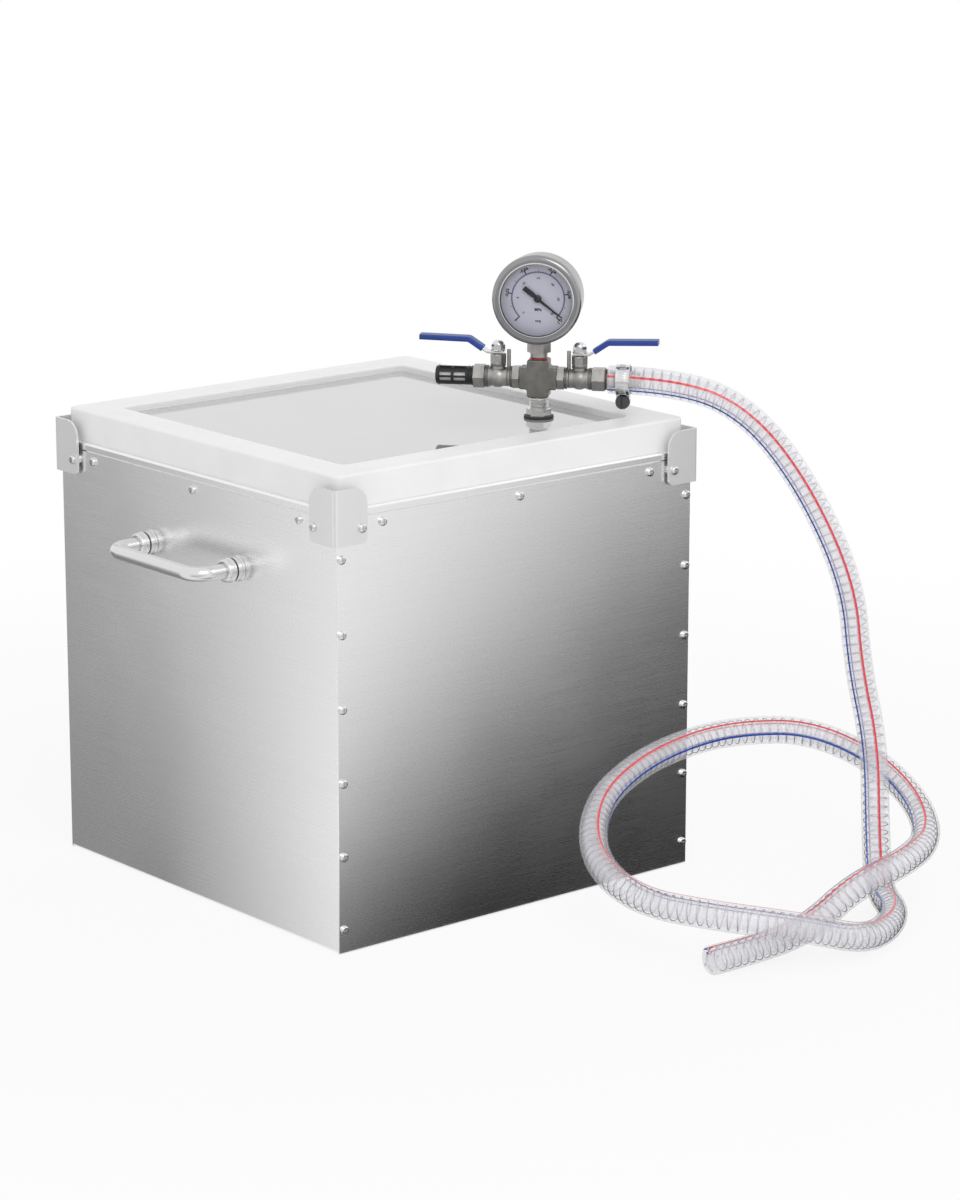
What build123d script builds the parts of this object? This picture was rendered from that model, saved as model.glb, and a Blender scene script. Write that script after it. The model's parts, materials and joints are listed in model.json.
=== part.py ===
from build123d import *
from math import cos, pi, radians, sin, tan
import os

# Square vacuum degassing chamber: a welded stainless tank in a panelled stainless casing,
# a clear acrylic lid in a white silicone frame, and on the lid a cross fitting that carries
# a vacuum gauge, a silenced vent valve and a hose valve with a wire-reinforced clear hose.
# Frame: origin on the floor under the middle of the casing, +Z up, front towards -Y.

# ------------------------------------------------------------------ driving dimensions (mm)
# casing
case_width = 300.0
steel_height = 289.5
skin = 1.5
bend_radius = 3.0
return_width = 14.0
return_gap = 0.5
flange_thickness = 5.0
flange_seam = 1.0
flange_corner = 6.0

# tank
tank_margin = 20.0
tank_wall = 3.0
tank_floor = 4.0
tank_corner = 15.0
rail_height = 9.5
rail_width = 20.0
rail_count = 3
stiffener_depth = 12.0
stiffener_thickness = 3.0
stiffener_shares = (0.33, 0.64)
frame_height = 13.0
weld_gap = 0.1

# screws in the panels
screw_thread = 3.0
screw_head = 5.8
screw_head_height = 1.9
screw_length = 8.0
screw_play = 0.4
thread_play = 0.1
edge_screw_inset = 4.0
edge_screw_low = 16.0
edge_screw_drop = 31.5
edge_screw_count = 6
top_screw_inset = 37.0
top_screw_drop = 11.5

# corner brackets that keep the lid in place
bracket_leg = 26.0
bracket_below = 22.5
bracket_above = 13.5
bracket_thickness = 1.8
bracket_standoff = 1.6
bracket_screw_inset = 18.0
bracket_screw_drop = 12.5
bracket_large_round = 11.0
bracket_small_round = 4.0
spacer_width = 8.0

# handles
handle_rod = 9.5
handle_span = 96.0
handle_reach = 33.0
handle_bend = 12.0
handle_drop = 55.0
ferrule_width = 15.0
ferrule_length = 12.0
handle_screw = 5.0
handle_screw_depth = 12.0

# lid
rim_inset = 3.4
rim_bottom = 2.7
plate_thickness = 13.5
rim_lip = 4.5
rim_lip_width = 26.0
rim_side = 3.5
rim_round = 5.0

# pipe work
rig_x = 86.0
rig_y = -69.0
rig_turn = -49.0
axis_above_plate = 27.3
pipe_thread = 9.7
thread_fit = 0.05
thread_reach = 7.0
passage = 5.0
cross_width = 14.5
cross_half = 12.8
fitting_width = 12.3
hex_ring = 14.6
washer_width = 20.0
lock_hex = 17.0

# ball valves
valve_stem_at = 27.4
valve_end_at = 36.3
valve_barrel = 13.0
valve_hex = 14.0
valve_neck = 9.5
neck_top = 9.0
gland_hex = 9.2
gland_top = 15.6
ball_width = 9.6
ball_play = 0.05
stem_width = 4.0
stem_top = 22.0
stop_pin = 2.6
stop_pin_at = 7.2
stop_pin_top = 18.5
lever_thickness = 1.6
lever_width = 7.6
lever_tail = 4.2
lever_flat = 7.0
lever_rise_at = 19.5
lever_rise = 8.4
lever_length = 51.8
sleeve_wall = 1.0
nut_hex = 8.0
nut_height = 4.2

# vent silencer
adapter_length = 7.4
adapter_hex = 14.6
silencer_width = 12.6
silencer_length = 25.8
silencer_wall = 1.3
window_length = 8.0
window_height = 2.4
window_pitch_along = 9.6
window_pitch_up = 3.7
element_width = 9.4

# hose end
hose_outside = 19.0
hose_inside = 13.0
hose_start = 47.0
hose_straight = 49.0
barb_shank = 10.4
barb_count = 4
barb_end = 68.0
clamp_at = 57.0
clamp_width = 9.0
clamp_band = 0.7
clamp_play = 0.1
clamp_screw_width = 8.4
clamp_screw_length = 15.0

# gauge
gauge_height = 54.2
bezel_width = 60.0
bezel_depth = 6.5
dial_opening = 49.0
gauge_case = 57.4
gauge_wall = 0.8
case_front = 9.9
case_back = 13.0
glass_width = 54.0
glass_thickness = 2.4
dial_thickness = 0.8
dial_face = 5.2
pointer_lift = 1.6
pointer_thickness = 0.5
pointer_tip = 20.5
pointer_tail = 11.8
pointer_rest = -37.4
socket_hex = 13.8
socket_neck = 11.5
socket_pillar = 8.4
sealant_height = 1.5
tube_radius = 17.0
arbor = 1.6
works_width = 12.0
works_height = 18.0
works_plate = 1.2
plate_gap = 5.0
works_back = 8.2

# ------------------------------------------------------------------ sizes that follow
half = case_width / 2
tank_inside = case_width - 2 * tank_margin
stiffener_heights = [share * steel_height for share in stiffener_shares]
edge_screw_high = steel_height - edge_screw_drop
top_screw_span = half - top_screw_inset
top_screw_height = steel_height - top_screw_drop
bracket_low = steel_height - bracket_below
bracket_high = steel_height + bracket_above
bracket_screw_height = steel_height - bracket_screw_drop
handle_height = steel_height - handle_drop
panel_top = steel_height - flange_thickness - flange_seam
tank_outside = tank_inside + 2 * tank_wall
tank_under = skin + rail_height
frame_top = steel_height - flange_thickness
frame_low = frame_top - frame_height
rim_half = half - rim_inset
plate_half = rim_half - rim_side
plate_low = steel_height + rim_bottom
plate_top = plate_low + plate_thickness
rim_top = plate_top + rim_lip
axis_z = plate_top + axis_above_plate
thread_depth = thread_reach + 1.0
adapter_end = valve_end_at + adapter_length
lever_level = gland_top + 0.3 + lever_thickness / 2
socket_low = cross_half + sealant_height


def face_plane(turn):
    """The outer face of one side of the casing: 0 front, 90 right, 180 back, 270 left."""
    angle = radians(turn)
    return Plane(
        origin=(half * sin(angle), -half * cos(angle), 0),
        x_dir=(cos(angle), sin(angle), 0),
        z_dir=(sin(angle), -cos(angle), 0),
    )


rig = Plane(
    origin=(rig_x, rig_y, axis_z),
    x_dir=(cos(radians(rig_turn)), sin(radians(rig_turn)), 0),
    z_dir=(0, 0, 1),
)


def rig_point(along, across, up):
    """A point of the pipe work: along the run, across it (away from the dial), and up."""
    return rig.from_local_coords((along, across, up))


def level(up, along=0.0):
    """A level plane of the pipe work at a height above the run's axis."""
    return Plane(origin=rig_point(along, 0, up), x_dir=rig.x_dir, z_dir=rig.z_dir)


def outward(side, along, up=0.0):
    """A plane across the run at a distance from the cross, facing away from the cross."""
    return Plane(
        origin=rig_point(side * along, 0, up), x_dir=rig.y_dir, z_dir=rig.x_dir * side
    )


def dialward(across, up=gauge_height, along=0.0):
    """A plane that faces as the dial does; across is positive towards the gauge's back."""
    return Plane(origin=rig_point(along, across, up), x_dir=rig.x_dir, z_dir=-rig.y_dir)


def save(part, label):
    """Label one finished piece and write its file."""
    part.label = label
    export_step(part, f"parts/{label}.step")


def pan_screw(length, thread, head, head_height):
    """A cross-recess pan-head screw, head up, its seat at the origin."""
    with BuildPart() as screw:
        Cylinder(thread / 2, length, align=(Align.CENTER, Align.CENTER, Align.MAX))
        Cylinder(head / 2, head_height, align=(Align.CENTER, Align.CENTER, Align.MIN))
        crown = screw.edges().filter_by(GeomType.CIRCLE).group_by(Axis.Z)[-1]
        fillet(crown, head_height * 0.6)
        with BuildSketch(Plane.XY.offset(head_height)):
            Rectangle(head * 0.6, head * 0.13)
            Rectangle(head * 0.13, head * 0.6)
        extrude(amount=-head_height * 0.6, mode=Mode.SUBTRACT)
    return screw.part


os.makedirs("parts", exist_ok=True)

# ------------------------------------------------------------------ tank
with BuildPart() as tank:
    with BuildSketch(Plane.XY.offset(tank_under)):
        RectangleRounded(tank_outside, tank_outside, tank_corner + tank_wall)
    extrude(amount=steel_height - tank_under)
    with BuildSketch(Plane.XY.offset(frame_top)):
        RectangleRounded(case_width, case_width, flange_corner)
    extrude(amount=flange_thickness)
    flange_edges = tank.edges().filter_by(
        lambda e: max(abs(e.center().X), abs(e.center().Y)) > half - flange_corner)
    fillet(flange_edges.group_by(Axis.Z)[-1], flange_thickness * 0.35)
    with BuildSketch(Plane.XY.offset(tank_under + tank_floor)):
        RectangleRounded(tank_inside, tank_inside, tank_corner)
    extrude(amount=steel_height, mode=Mode.SUBTRACT)
save(tank.part, "tank")

with BuildPart() as base_rails:
    rail_pitch = (tank_inside - 2 * rail_width) / (rail_count - 1)
    with BuildSketch(Plane.XY.offset(skin)):
        with GridLocations(rail_pitch, 0, rail_count, 1):
            Rectangle(rail_width, tank_inside)
    extrude(amount=rail_height)
save(base_rails.part, "base_rails")

with BuildPart() as stiffener_rings:
    for ring_height in stiffener_heights:
        with BuildSketch(Plane.XY.offset(ring_height)):
            reach = tank_outside + 2 * stiffener_depth
            RectangleRounded(reach, reach, tank_corner)
            bore = tank_outside + 2 * weld_gap
            RectangleRounded(bore, bore, tank_corner + tank_wall, mode=Mode.SUBTRACT)
        extrude(amount=stiffener_thickness)
save(stiffener_rings.part, "stiffener_rings")

# ------------------------------------------------------------------ screw places
edge_pitch = (edge_screw_high - edge_screw_low) / (edge_screw_count - 1)
edge_heights = [edge_screw_low + edge_pitch * n for n in range(edge_screw_count)]
edge_points = [(side * (half - edge_screw_inset), z) for z in edge_heights for side in (-1, 1)]
top_points = [(x, top_screw_height) for x in (-top_screw_span, 0, top_screw_span)]
bracket_points = [(side * (half - bracket_screw_inset), bracket_screw_height) for side in (-1, 1)]
panel_turns = (0, 180)
wrap_turns = (90, 270)


def drill(planes, points, width, depth):
    """Cut round holes of one width into the part being built, from faces inwards."""
    for plane in planes:
        with BuildSketch(plane) as holes:
            with Locations(*points):
                Circle(width / 2)
        extrude(holes.sketch, amount=-depth, mode=Mode.SUBTRACT)


# the square bar under the flange that all upper screws bite into
with BuildPart() as upper_frame:
    with BuildSketch(Plane.XY.offset(frame_low)):
        Rectangle(case_width - 2 * skin, case_width - 2 * skin)
        bore = tank_outside + 2 * weld_gap
        RectangleRounded(bore, bore, tank_corner + tank_wall, mode=Mode.SUBTRACT)
    extrude(amount=frame_height)
    faces = [face_plane(turn) for turn in panel_turns + wrap_turns]
    drill(faces, top_points + bracket_points, screw_thread + thread_play, skin + screw_length)
save(upper_frame.part, "upper_frame")

# one sheet folded round the left side, the bottom and the right side
with BuildPart() as outer_wrap:
    with BuildSketch(Plane.XZ) as wrap_profile:
        with Locations((0, panel_top / 2)):
            Rectangle(case_width, panel_top)
        with Locations((0, (panel_top + skin) / 2)):
            Rectangle(case_width - 2 * skin, panel_top - skin, mode=Mode.SUBTRACT)
        fillet(wrap_profile.vertices().group_by(Axis.Y)[0], bend_radius)
        fillet(wrap_profile.vertices().group_by(Axis.Y)[1].filter_by(
            lambda v: abs(v.X) < half - skin / 2), bend_radius - skin)
    extrude(amount=half - skin, both=True)
    return_low = skin + bend_radius
    with BuildSketch(Plane.XY.offset(return_low)):
        with GridLocations(case_width - 2 * skin - return_width, case_width - 3 * skin, 2, 2):
            Rectangle(return_width, skin)
    extrude(amount=frame_low - return_gap - return_low)
    with BuildSketch(Plane.XY.offset(skin)):
        with GridLocations(0, case_width - 3 * skin, 1, 2):
            Rectangle(case_width - 2 * (skin + return_width + return_gap), skin)
    extrude(amount=return_width)
    drill([face_plane(turn) for turn in panel_turns], edge_points, screw_thread + thread_play, 3 * skin)
    sides = [face_plane(turn) for turn in wrap_turns]
    drill(sides, top_points + bracket_points, screw_thread + screw_play, 2 * skin)
    handle_points = [(side * handle_span / 2, handle_height) for side in (-1, 1)]
    drill(sides, handle_points, handle_screw + screw_play, 2 * skin)
save(outer_wrap.part, "outer_wrap")

for panel_name, turn in (("front_panel", 0), ("back_panel", 180)):
    with BuildPart() as panel:
        face = face_plane(turn)
        with BuildSketch(face):
            with Locations((0, panel_top / 2)):
                Rectangle(case_width, panel_top)
        extrude(amount=-skin)
        fillet(panel.edges().filter_by(Axis.Z).group_by(SortBy.DISTANCE)[-1], skin * 0.4)
        drill([face], edge_points + top_points + bracket_points, screw_thread + screw_play, 2 * skin)
    save(panel.part, panel_name)

panel_screw = pan_screw(screw_length, screw_thread, screw_head, screw_head_height)
for screws_name, turns, points in (
    ("front_panel_screws", (0,), edge_points + top_points),
    ("back_panel_screws", (180,), edge_points + top_points),
    ("side_screws", wrap_turns, top_points),
):
    with BuildPart() as panel_screws:
        for turn in turns:
            with Locations(*[face_plane(turn).location * Location((x, z, 0)) for x, z in points]):
                add(panel_screw)
    save(panel_screws.part, screws_name)

# ------------------------------------------------------------------ corner brackets
bracket_out = bracket_standoff + bracket_thickness
for bracket_name, turn in (("front_left", 0), ("front_right", 90), ("back_right", 180), ("back_left", 270)):
    with BuildPart() as bracket:
        corner = -half - bracket_out
        with BuildSketch(Plane.XY.offset(bracket_low)) as angle_profile:
            with Locations((corner, corner)):
                Rectangle(bracket_leg, bracket_leg, align=(Align.MIN, Align.MIN))
            with Locations((corner + bracket_thickness, corner + bracket_thickness)):
                Rectangle(bracket_leg, bracket_leg, align=(Align.MIN, Align.MIN), mode=Mode.SUBTRACT)
            bend_line = angle_profile.vertices().sort_by(lambda v: v.X + v.Y)
            fillet(bend_line[0], bracket_thickness + 0.8)
            inner = angle_profile.vertices().sort_by_distance((corner + bracket_thickness,) * 2 + (0,))
            fillet(inner[0], 0.8)
        extrude(amount=bracket_high - bracket_low)
        for run, other in ((Axis.Y, Axis.X), (Axis.X, Axis.Y)):
            ends = bracket.edges().filter_by(run).group_by(other)[-1].sort_by(Axis.Z)
            fillet(ends[-1], bracket_large_round)
            ends = bracket.edges().filter_by(run).group_by(other)[-1].sort_by(Axis.Z)
            fillet(ends[0], bracket_small_round)
        for plane, side in ((face_plane(0), -1), (face_plane(270), 1)):
            with BuildSketch(plane.offset(bracket_out)):
                with Locations((side * (half - bracket_screw_inset), bracket_screw_height)):
                    Circle((screw_thread + screw_play) / 2)
            extrude(amount=-bracket_thickness, mode=Mode.SUBTRACT)
    save(bracket.part.rotate(Axis.Z, turn), f"bracket_{bracket_name}")

with BuildPart() as bracket_spacers:
    for turn in panel_turns + wrap_turns:
        with BuildSketch(face_plane(turn)):
            with Locations(*bracket_points):
                Circle(spacer_width / 2)
                Circle((screw_thread + screw_play) / 2, mode=Mode.SUBTRACT)
        extrude(amount=bracket_standoff)
save(bracket_spacers.part, "bracket_spacers")

bracket_screw = pan_screw(screw_length + bracket_out, screw_thread, screw_head, screw_head_height)
with BuildPart() as bracket_screws:
    for turn in panel_turns + wrap_turns:
        seat = face_plane(turn).offset(bracket_out).location
        with Locations(*[seat * Location((x, z, 0)) for x, z in bracket_points]):
            add(bracket_screw)
save(bracket_screws.part, "bracket_screws")

# ------------------------------------------------------------------ handles
for handle_name, turn in (("handle_right", 90), ("handle_left", 270)):
    face = face_plane(turn)
    feet = [side * handle_span / 2 for side in (-1, 1)]
    ends = [face.from_local_coords((foot, handle_height, 0)) for foot in feet]
    knees = [face.from_local_coords((foot, handle_height, handle_reach)) for foot in feet]
    with BuildPart() as handle:
        with BuildLine() as bar:
            FilletPolyline(ends[0], knees[0], knees[1], ends[1], radius=handle_bend)
        with BuildSketch(Plane(origin=ends[0], x_dir=face.x_dir, z_dir=face.z_dir)):
            Circle(handle_rod / 2)
        sweep(path=bar.wires()[0])
        screw_ends = [face.offset(handle_screw_depth)]
        drill(screw_ends, handle_points, handle_screw + thread_play, handle_screw_depth)
    save(handle.part, handle_name)

with BuildPart() as handle_ferrules:
    for turn in wrap_turns:
        with BuildSketch(face_plane(turn)):
            with Locations(*handle_points):
                Circle(ferrule_width / 2)
                Circle(handle_rod / 2 + weld_gap, mode=Mode.SUBTRACT)
        extrude(amount=ferrule_length)
    tips = handle_ferrules.edges().filter_by(GeomType.CIRCLE).filter_by(
        lambda e: abs(e.radius - ferrule_width / 2) < 0.01 and abs(e.center().X) > half + 1)
    fillet(tips, 1.4)
save(handle_ferrules.part, "handle_ferrules")

rod_screw = pan_screw(handle_screw_depth + skin - 1.0, handle_screw, handle_screw * 1.8, handle_screw * 0.6)
with BuildPart() as handle_screws:
    for turn in wrap_turns:
        inside = face_plane(turn).offset(-skin).location
        with Locations(*[inside * Location((x, z, 0), (180, 0, 0)) for x, z in handle_points]):
            add(rod_screw)
save(handle_screws.part, "handle_screws")

# ------------------------------------------------------------------ lid
with BuildPart() as lid_rim:
    with BuildSketch(Plane.XY.offset(steel_height)):
        RectangleRounded(2 * rim_half, 2 * rim_half, rim_round)
    extrude(amount=rim_top - steel_height)
    fillet(lid_rim.faces().sort_by(Axis.Z)[-1].edges(), rim_lip * 0.35)
    window = 2 * (rim_half - rim_lip_width)
    with BuildSketch(Plane.XY.offset(steel_height)):
        RectangleRounded(window, window, rim_round)
    extrude(amount=rim_top - steel_height, mode=Mode.SUBTRACT)
    with BuildSketch(Plane.XY.offset(plate_low)):
        RectangleRounded(2 * plate_half, 2 * plate_half, rim_round - rim_side / 2)
    extrude(amount=plate_thickness, mode=Mode.SUBTRACT)
    inner_lip = lid_rim.faces().sort_by(Axis.Z)[-1].inner_wires()[0].edges()
    fillet(inner_lip, rim_lip * 0.25)
save(lid_rim.part, "lid_rim")

rig_spot = (rig_x, rig_y)
with BuildPart() as lid_plate:
    with BuildSketch(Plane.XY.offset(plate_low)):
        RectangleRounded(2 * plate_half, 2 * plate_half, rim_round - rim_side / 2)
        with Locations(rig_spot):
            Circle(fitting_width / 2 + screw_play / 2, mode=Mode.SUBTRACT)
    extrude(amount=plate_thickness)
save(lid_plate.part, "lid_plate")

# ------------------------------------------------------------------ pipe work on the lid
washer_height = 1.6
ring_low = plate_top + washer_height - axis_z
ring_top = ring_low + 4.6
lock_top = plate_low - washer_height - axis_z
lock_height = 5.0
with BuildPart() as lid_fitting:
    with BuildSketch(level(lock_top - lock_height - 3)):
        Circle(fitting_width / 2)
    extrude(amount=-cross_half - (lock_top - lock_height - 3))
    with BuildSketch(level(ring_low)):
        RegularPolygon(hex_ring / 2, 6, major_radius=False)
    extrude(amount=ring_top - ring_low)
    with BuildSketch(level(-cross_half)):
        Circle(pipe_thread / 2 - thread_fit)
    extrude(amount=thread_reach)
    with BuildSketch(level(lock_top - lock_height - 3)):
        Circle(passage / 2)
    extrude(amount=axis_z, mode=Mode.SUBTRACT)
    groove_levels = (ring_top + 1.6, ring_top + 3.6)
    for groove in groove_levels:
        with BuildSketch(level(groove)):
            Circle(fitting_width / 2)
            Circle(fitting_width / 2 - 0.5, mode=Mode.SUBTRACT)
        extrude(amount=0.7, mode=Mode.SUBTRACT)
save(lid_fitting.part, "lid_fitting")

for washer_name, low in (("seal_washer_top", plate_top - axis_z), ("seal_washer_bottom", lock_top)):
    with BuildPart() as washer:
        with BuildSketch(level(low)):
            Circle(washer_width / 2)
            Circle(fitting_width / 2 + thread_play, mode=Mode.SUBTRACT)
        extrude(amount=washer_height)
    save(washer.part, washer_name)

with BuildPart() as lock_nut:
    with BuildSketch(level(lock_top - lock_height)):
        RegularPolygon(lock_hex / 2, 6, major_radius=False)
        Circle(fitting_width / 2 + thread_fit, mode=Mode.SUBTRACT)
    extrude(amount=lock_height)
save(lock_nut.part, "lock_nut")

across_run = Axis(rig.origin, rig.y_dir)
cross_round = 1.6
with BuildPart() as cross_fitting:
    with BuildSketch(dialward(cross_width / 2, 0)) as cross_outline:
        Rectangle(2 * cross_half, cross_width)
        Rectangle(cross_width, 2 * cross_half)
        fillet(cross_outline.vertices(), cross_round)
    extrude(amount=cross_width)
    sides = cross_fitting.faces().sort_by(across_run)
    fillet(sides[0].edges() + sides[-1].edges(), cross_round * 0.7)
    for plane in (outward(1, -cross_half), level(-cross_half)):
        with BuildSketch(plane):
            Circle(passage / 2)
        extrude(amount=2 * cross_half, mode=Mode.SUBTRACT)
    ends = (outward(1, cross_half), outward(-1, cross_half), level(cross_half), level(-cross_half))
    for plane, inward in zip(ends, (-1, -1, -1, 1)):
        with BuildSketch(plane):
            Circle(pipe_thread / 2)
        extrude(amount=inward * thread_depth, mode=Mode.SUBTRACT)
save(cross_fitting.part, "cross_fitting")

with BuildPart() as thread_sealant:
    with BuildSketch(level(cross_half)):
        Circle(socket_neck / 2)
        Circle(pipe_thread / 2 + thread_fit, mode=Mode.SUBTRACT)
    extrude(amount=sealant_height)
save(thread_sealant.part, "thread_sealant")

# ------------------------------------------------------------------ ball valves
seat_reach = 5.6
chamber = ball_width + 1.6
lever_side = (
    (-lever_tail, lever_level),
    (lever_flat, lever_level),
    (lever_rise_at, lever_level + lever_rise),
    (lever_length, lever_level + lever_rise + 0.8),
)
grip_share = 0.25
grip_start = (
    lever_side[1][0] + grip_share * (lever_side[2][0] - lever_side[1][0]),
    lever_side[1][1] + grip_share * (lever_side[2][1] - lever_side[1][1]),
)


def lever_bar(points, side, width, thickness, mode):
    """Sweep a flat section along the lever's side view, from the stem outwards."""
    places = [rig_point(side * (valve_stem_at + s), 0, h) for s, h in points]
    with BuildLine(mode=Mode.PRIVATE) as run:
        FilletPolyline(*places, radius=4.0)
    first = places[1] - places[0]
    with BuildSketch(Plane(origin=places[0], x_dir=rig.y_dir, z_dir=first)) as section:
        RectangleRounded(width, thickness, thickness * 0.3)
    sweep(section.sketch, path=run.wires()[0], mode=mode)


for valve, side in (("vent", -1), ("hose", 1)):
    stem_axis = side * valve_stem_at
    with BuildPart() as valve_body:
        with BuildSketch(outward(side, cross_half - thread_reach)):
            Circle(pipe_thread / 2 - thread_fit)
        extrude(amount=thread_reach)
        with BuildSketch(outward(side, cross_half)):
            RegularPolygon(valve_hex / 2, 6, major_radius=False)
        extrude(amount=4.6)
        with BuildSketch(outward(side, cross_half)):
            Circle(valve_barrel / 2)
        extrude(amount=valve_end_at - cross_half)
        with BuildSketch(outward(side, valve_end_at)):
            Circle(valve_barrel / 2 + 0.5)
        extrude(amount=-4.0)
        with Locations(level(0, stem_axis)):
            Sphere(valve_barrel / 2 + 0.9)
        with BuildSketch(level(0, stem_axis)):
            Circle(valve_neck / 2)
        extrude(amount=neck_top)
        with BuildSketch(level(valve_barrel / 2 - 1.5, side * (valve_stem_at - stop_pin_at))):
            Circle(stop_pin / 2)
        extrude(amount=stop_pin_top - valve_barrel / 2 + 1.5)
        with BuildSketch(outward(side, cross_half - thread_reach)):
            Circle(passage / 2)
        extrude(amount=valve_end_at, mode=Mode.SUBTRACT)
        with BuildSketch(outward(side, valve_stem_at - seat_reach)):
            Circle(chamber / 2)
        extrude(amount=2 * seat_reach, mode=Mode.SUBTRACT)
        with BuildSketch(outward(side, valve_end_at)):
            Circle(pipe_thread / 2)
        extrude(amount=-3.4, mode=Mode.SUBTRACT)
        with BuildSketch(level(0, stem_axis)):
            Circle(stem_width / 2 + ball_play)
        extrude(amount=neck_top, mode=Mode.SUBTRACT)
    save(valve_body.part, f"{valve}_valve_body")

    with BuildPart() as valve_seats:
        for facing in (-1, 1):
            seat_plane = outward(side, valve_stem_at + facing * seat_reach)
            with BuildSketch(seat_plane):
                Circle(chamber / 2 - ball_play)
                Circle(passage / 2, mode=Mode.SUBTRACT)
            extrude(amount=-facing * 2.4)
        with Locations(outward(side, valve_stem_at)):
            Sphere(ball_width / 2 + ball_play, mode=Mode.SUBTRACT)
    save(valve_seats.part, f"{valve}_valve_seats")

    with BuildPart() as gland:
        with BuildSketch(level(neck_top, stem_axis)):
            RegularPolygon(gland_hex / 2, 6, major_radius=False)
            Circle(stem_width / 2 + ball_play, mode=Mode.SUBTRACT)
        extrude(amount=gland_top - neck_top)
    save(gland.part, f"{valve}_valve_gland")

    slot_depth = 1.8
    tongue = 1.6
    with BuildPart() as ball:
        with Locations(outward(side, valve_stem_at)):
            Sphere(ball_width / 2)
        with BuildSketch(outward(side, valve_stem_at - ball_width)):
            Circle(passage / 2)
        extrude(amount=2 * ball_width, mode=Mode.SUBTRACT)
        with BuildSketch(level(ball_width / 2 - slot_depth, stem_axis)):
            Rectangle(ball_width, tongue + 2 * ball_play)
        extrude(amount=slot_depth, mode=Mode.SUBTRACT)
    save(ball.part, f"{valve}_ball")

    with BuildPart() as stem:
        with BuildSketch(level(ball_width / 2, stem_axis)):
            Circle(stem_width / 2)
        extrude(amount=stem_top - ball_width / 2)
        with BuildSketch(level(ball_width / 2 - slot_depth + 0.1, stem_axis)):
            Rectangle(stem_width * 0.8, tongue)
        extrude(amount=slot_depth)
    save(stem.part, f"{valve}_stem")

    with BuildPart() as lever:
        lever_bar(lever_side, side, lever_width, lever_thickness, Mode.ADD)
        with BuildSketch(level(gland_top, stem_axis)):
            Circle(stem_width / 2 + thread_fit)
        extrude(amount=lever_thickness * 2, mode=Mode.SUBTRACT)
    save(lever.part, f"{valve}_lever")

    with BuildPart() as grip:
        grip_side = (grip_start, lever_side[2], (lever_length + sleeve_wall, lever_side[3][1]))
        lever_bar(
            grip_side, side, lever_width + 2 * sleeve_wall, lever_thickness + 2 * sleeve_wall, Mode.ADD
        )
        lever_bar(lever_side, side, lever_width, lever_thickness, Mode.SUBTRACT)
    save(grip.part, f"{valve}_lever_sleeve")

    with BuildPart() as lever_nut:
        nut_low = lever_level + lever_thickness / 2
        with BuildSketch(level(nut_low, stem_axis)):
            RegularPolygon(nut_hex / 2, 6, major_radius=False)
        extrude(amount=nut_height)
        with BuildSketch(level(nut_low + nut_height, stem_axis)):
            Circle(nut_hex / 2 - 0.4)
        extrude(amount=1.6, taper=25)
        with BuildSketch(level(nut_low, stem_axis)):
            Circle(stem_width / 2 + thread_fit)
        extrude(amount=stem_top - nut_low + 0.1, mode=Mode.SUBTRACT)
    save(lever_nut.part, f"{valve}_lever_nut")

# ------------------------------------------------------------------ vent silencer
insert_reach = 3.2
with BuildPart() as silencer_adapter:
    with BuildSketch(outward(-1, valve_end_at)):
        RegularPolygon(adapter_hex / 2, 6, major_radius=False)
    extrude(amount=adapter_length)
    with BuildSketch(outward(-1, valve_end_at - insert_reach)):
        Circle(pipe_thread / 2 - thread_fit)
    extrude(amount=insert_reach)
    with BuildSketch(outward(-1, adapter_end)):
        Circle(silencer_width / 2 - silencer_wall - thread_play)
    extrude(amount=insert_reach)
    with BuildSketch(outward(-1, valve_end_at - insert_reach)):
        Circle(passage / 2)
    extrude(amount=adapter_length + 2 * insert_reach, mode=Mode.SUBTRACT)
save(silencer_adapter.part, "silencer_adapter")

silencer_end = adapter_end + silencer_length
with BuildPart() as silencer:
    with BuildSketch(outward(-1, adapter_end)):
        Circle(silencer_width / 2)
    extrude(amount=silencer_length)
    tip = silencer.edges().filter_by(GeomType.CIRCLE).sort_by(
        lambda e: (e.center() - rig_point(-silencer_end, 0, 0)).length)
    fillet(tip[0], 1.5)
    with BuildSketch(outward(-1, adapter_end)):
        Circle(silencer_width / 2 - silencer_wall)
    extrude(amount=silencer_length - silencer_wall, mode=Mode.SUBTRACT)
    window_middle = adapter_end + silencer_length / 2 + 1.2
    for plane in (dialward(0, 0, -window_middle), level(0, -window_middle)):
        with BuildSketch(plane):
            with GridLocations(window_pitch_along, window_pitch_up, 2, 2):
                RectangleRounded(window_length, window_height, 0.5)
        extrude(amount=silencer_width, both=True, mode=Mode.SUBTRACT)
save(silencer.part, "silencer")

with BuildPart() as silencer_element:
    with BuildSketch(outward(-1, adapter_end + insert_reach)):
        Circle(element_width / 2)
        Circle(passage / 2, mode=Mode.SUBTRACT)
    extrude(amount=silencer_length - insert_reach - silencer_wall)
save(silencer_element.part, "silencer_element")

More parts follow.
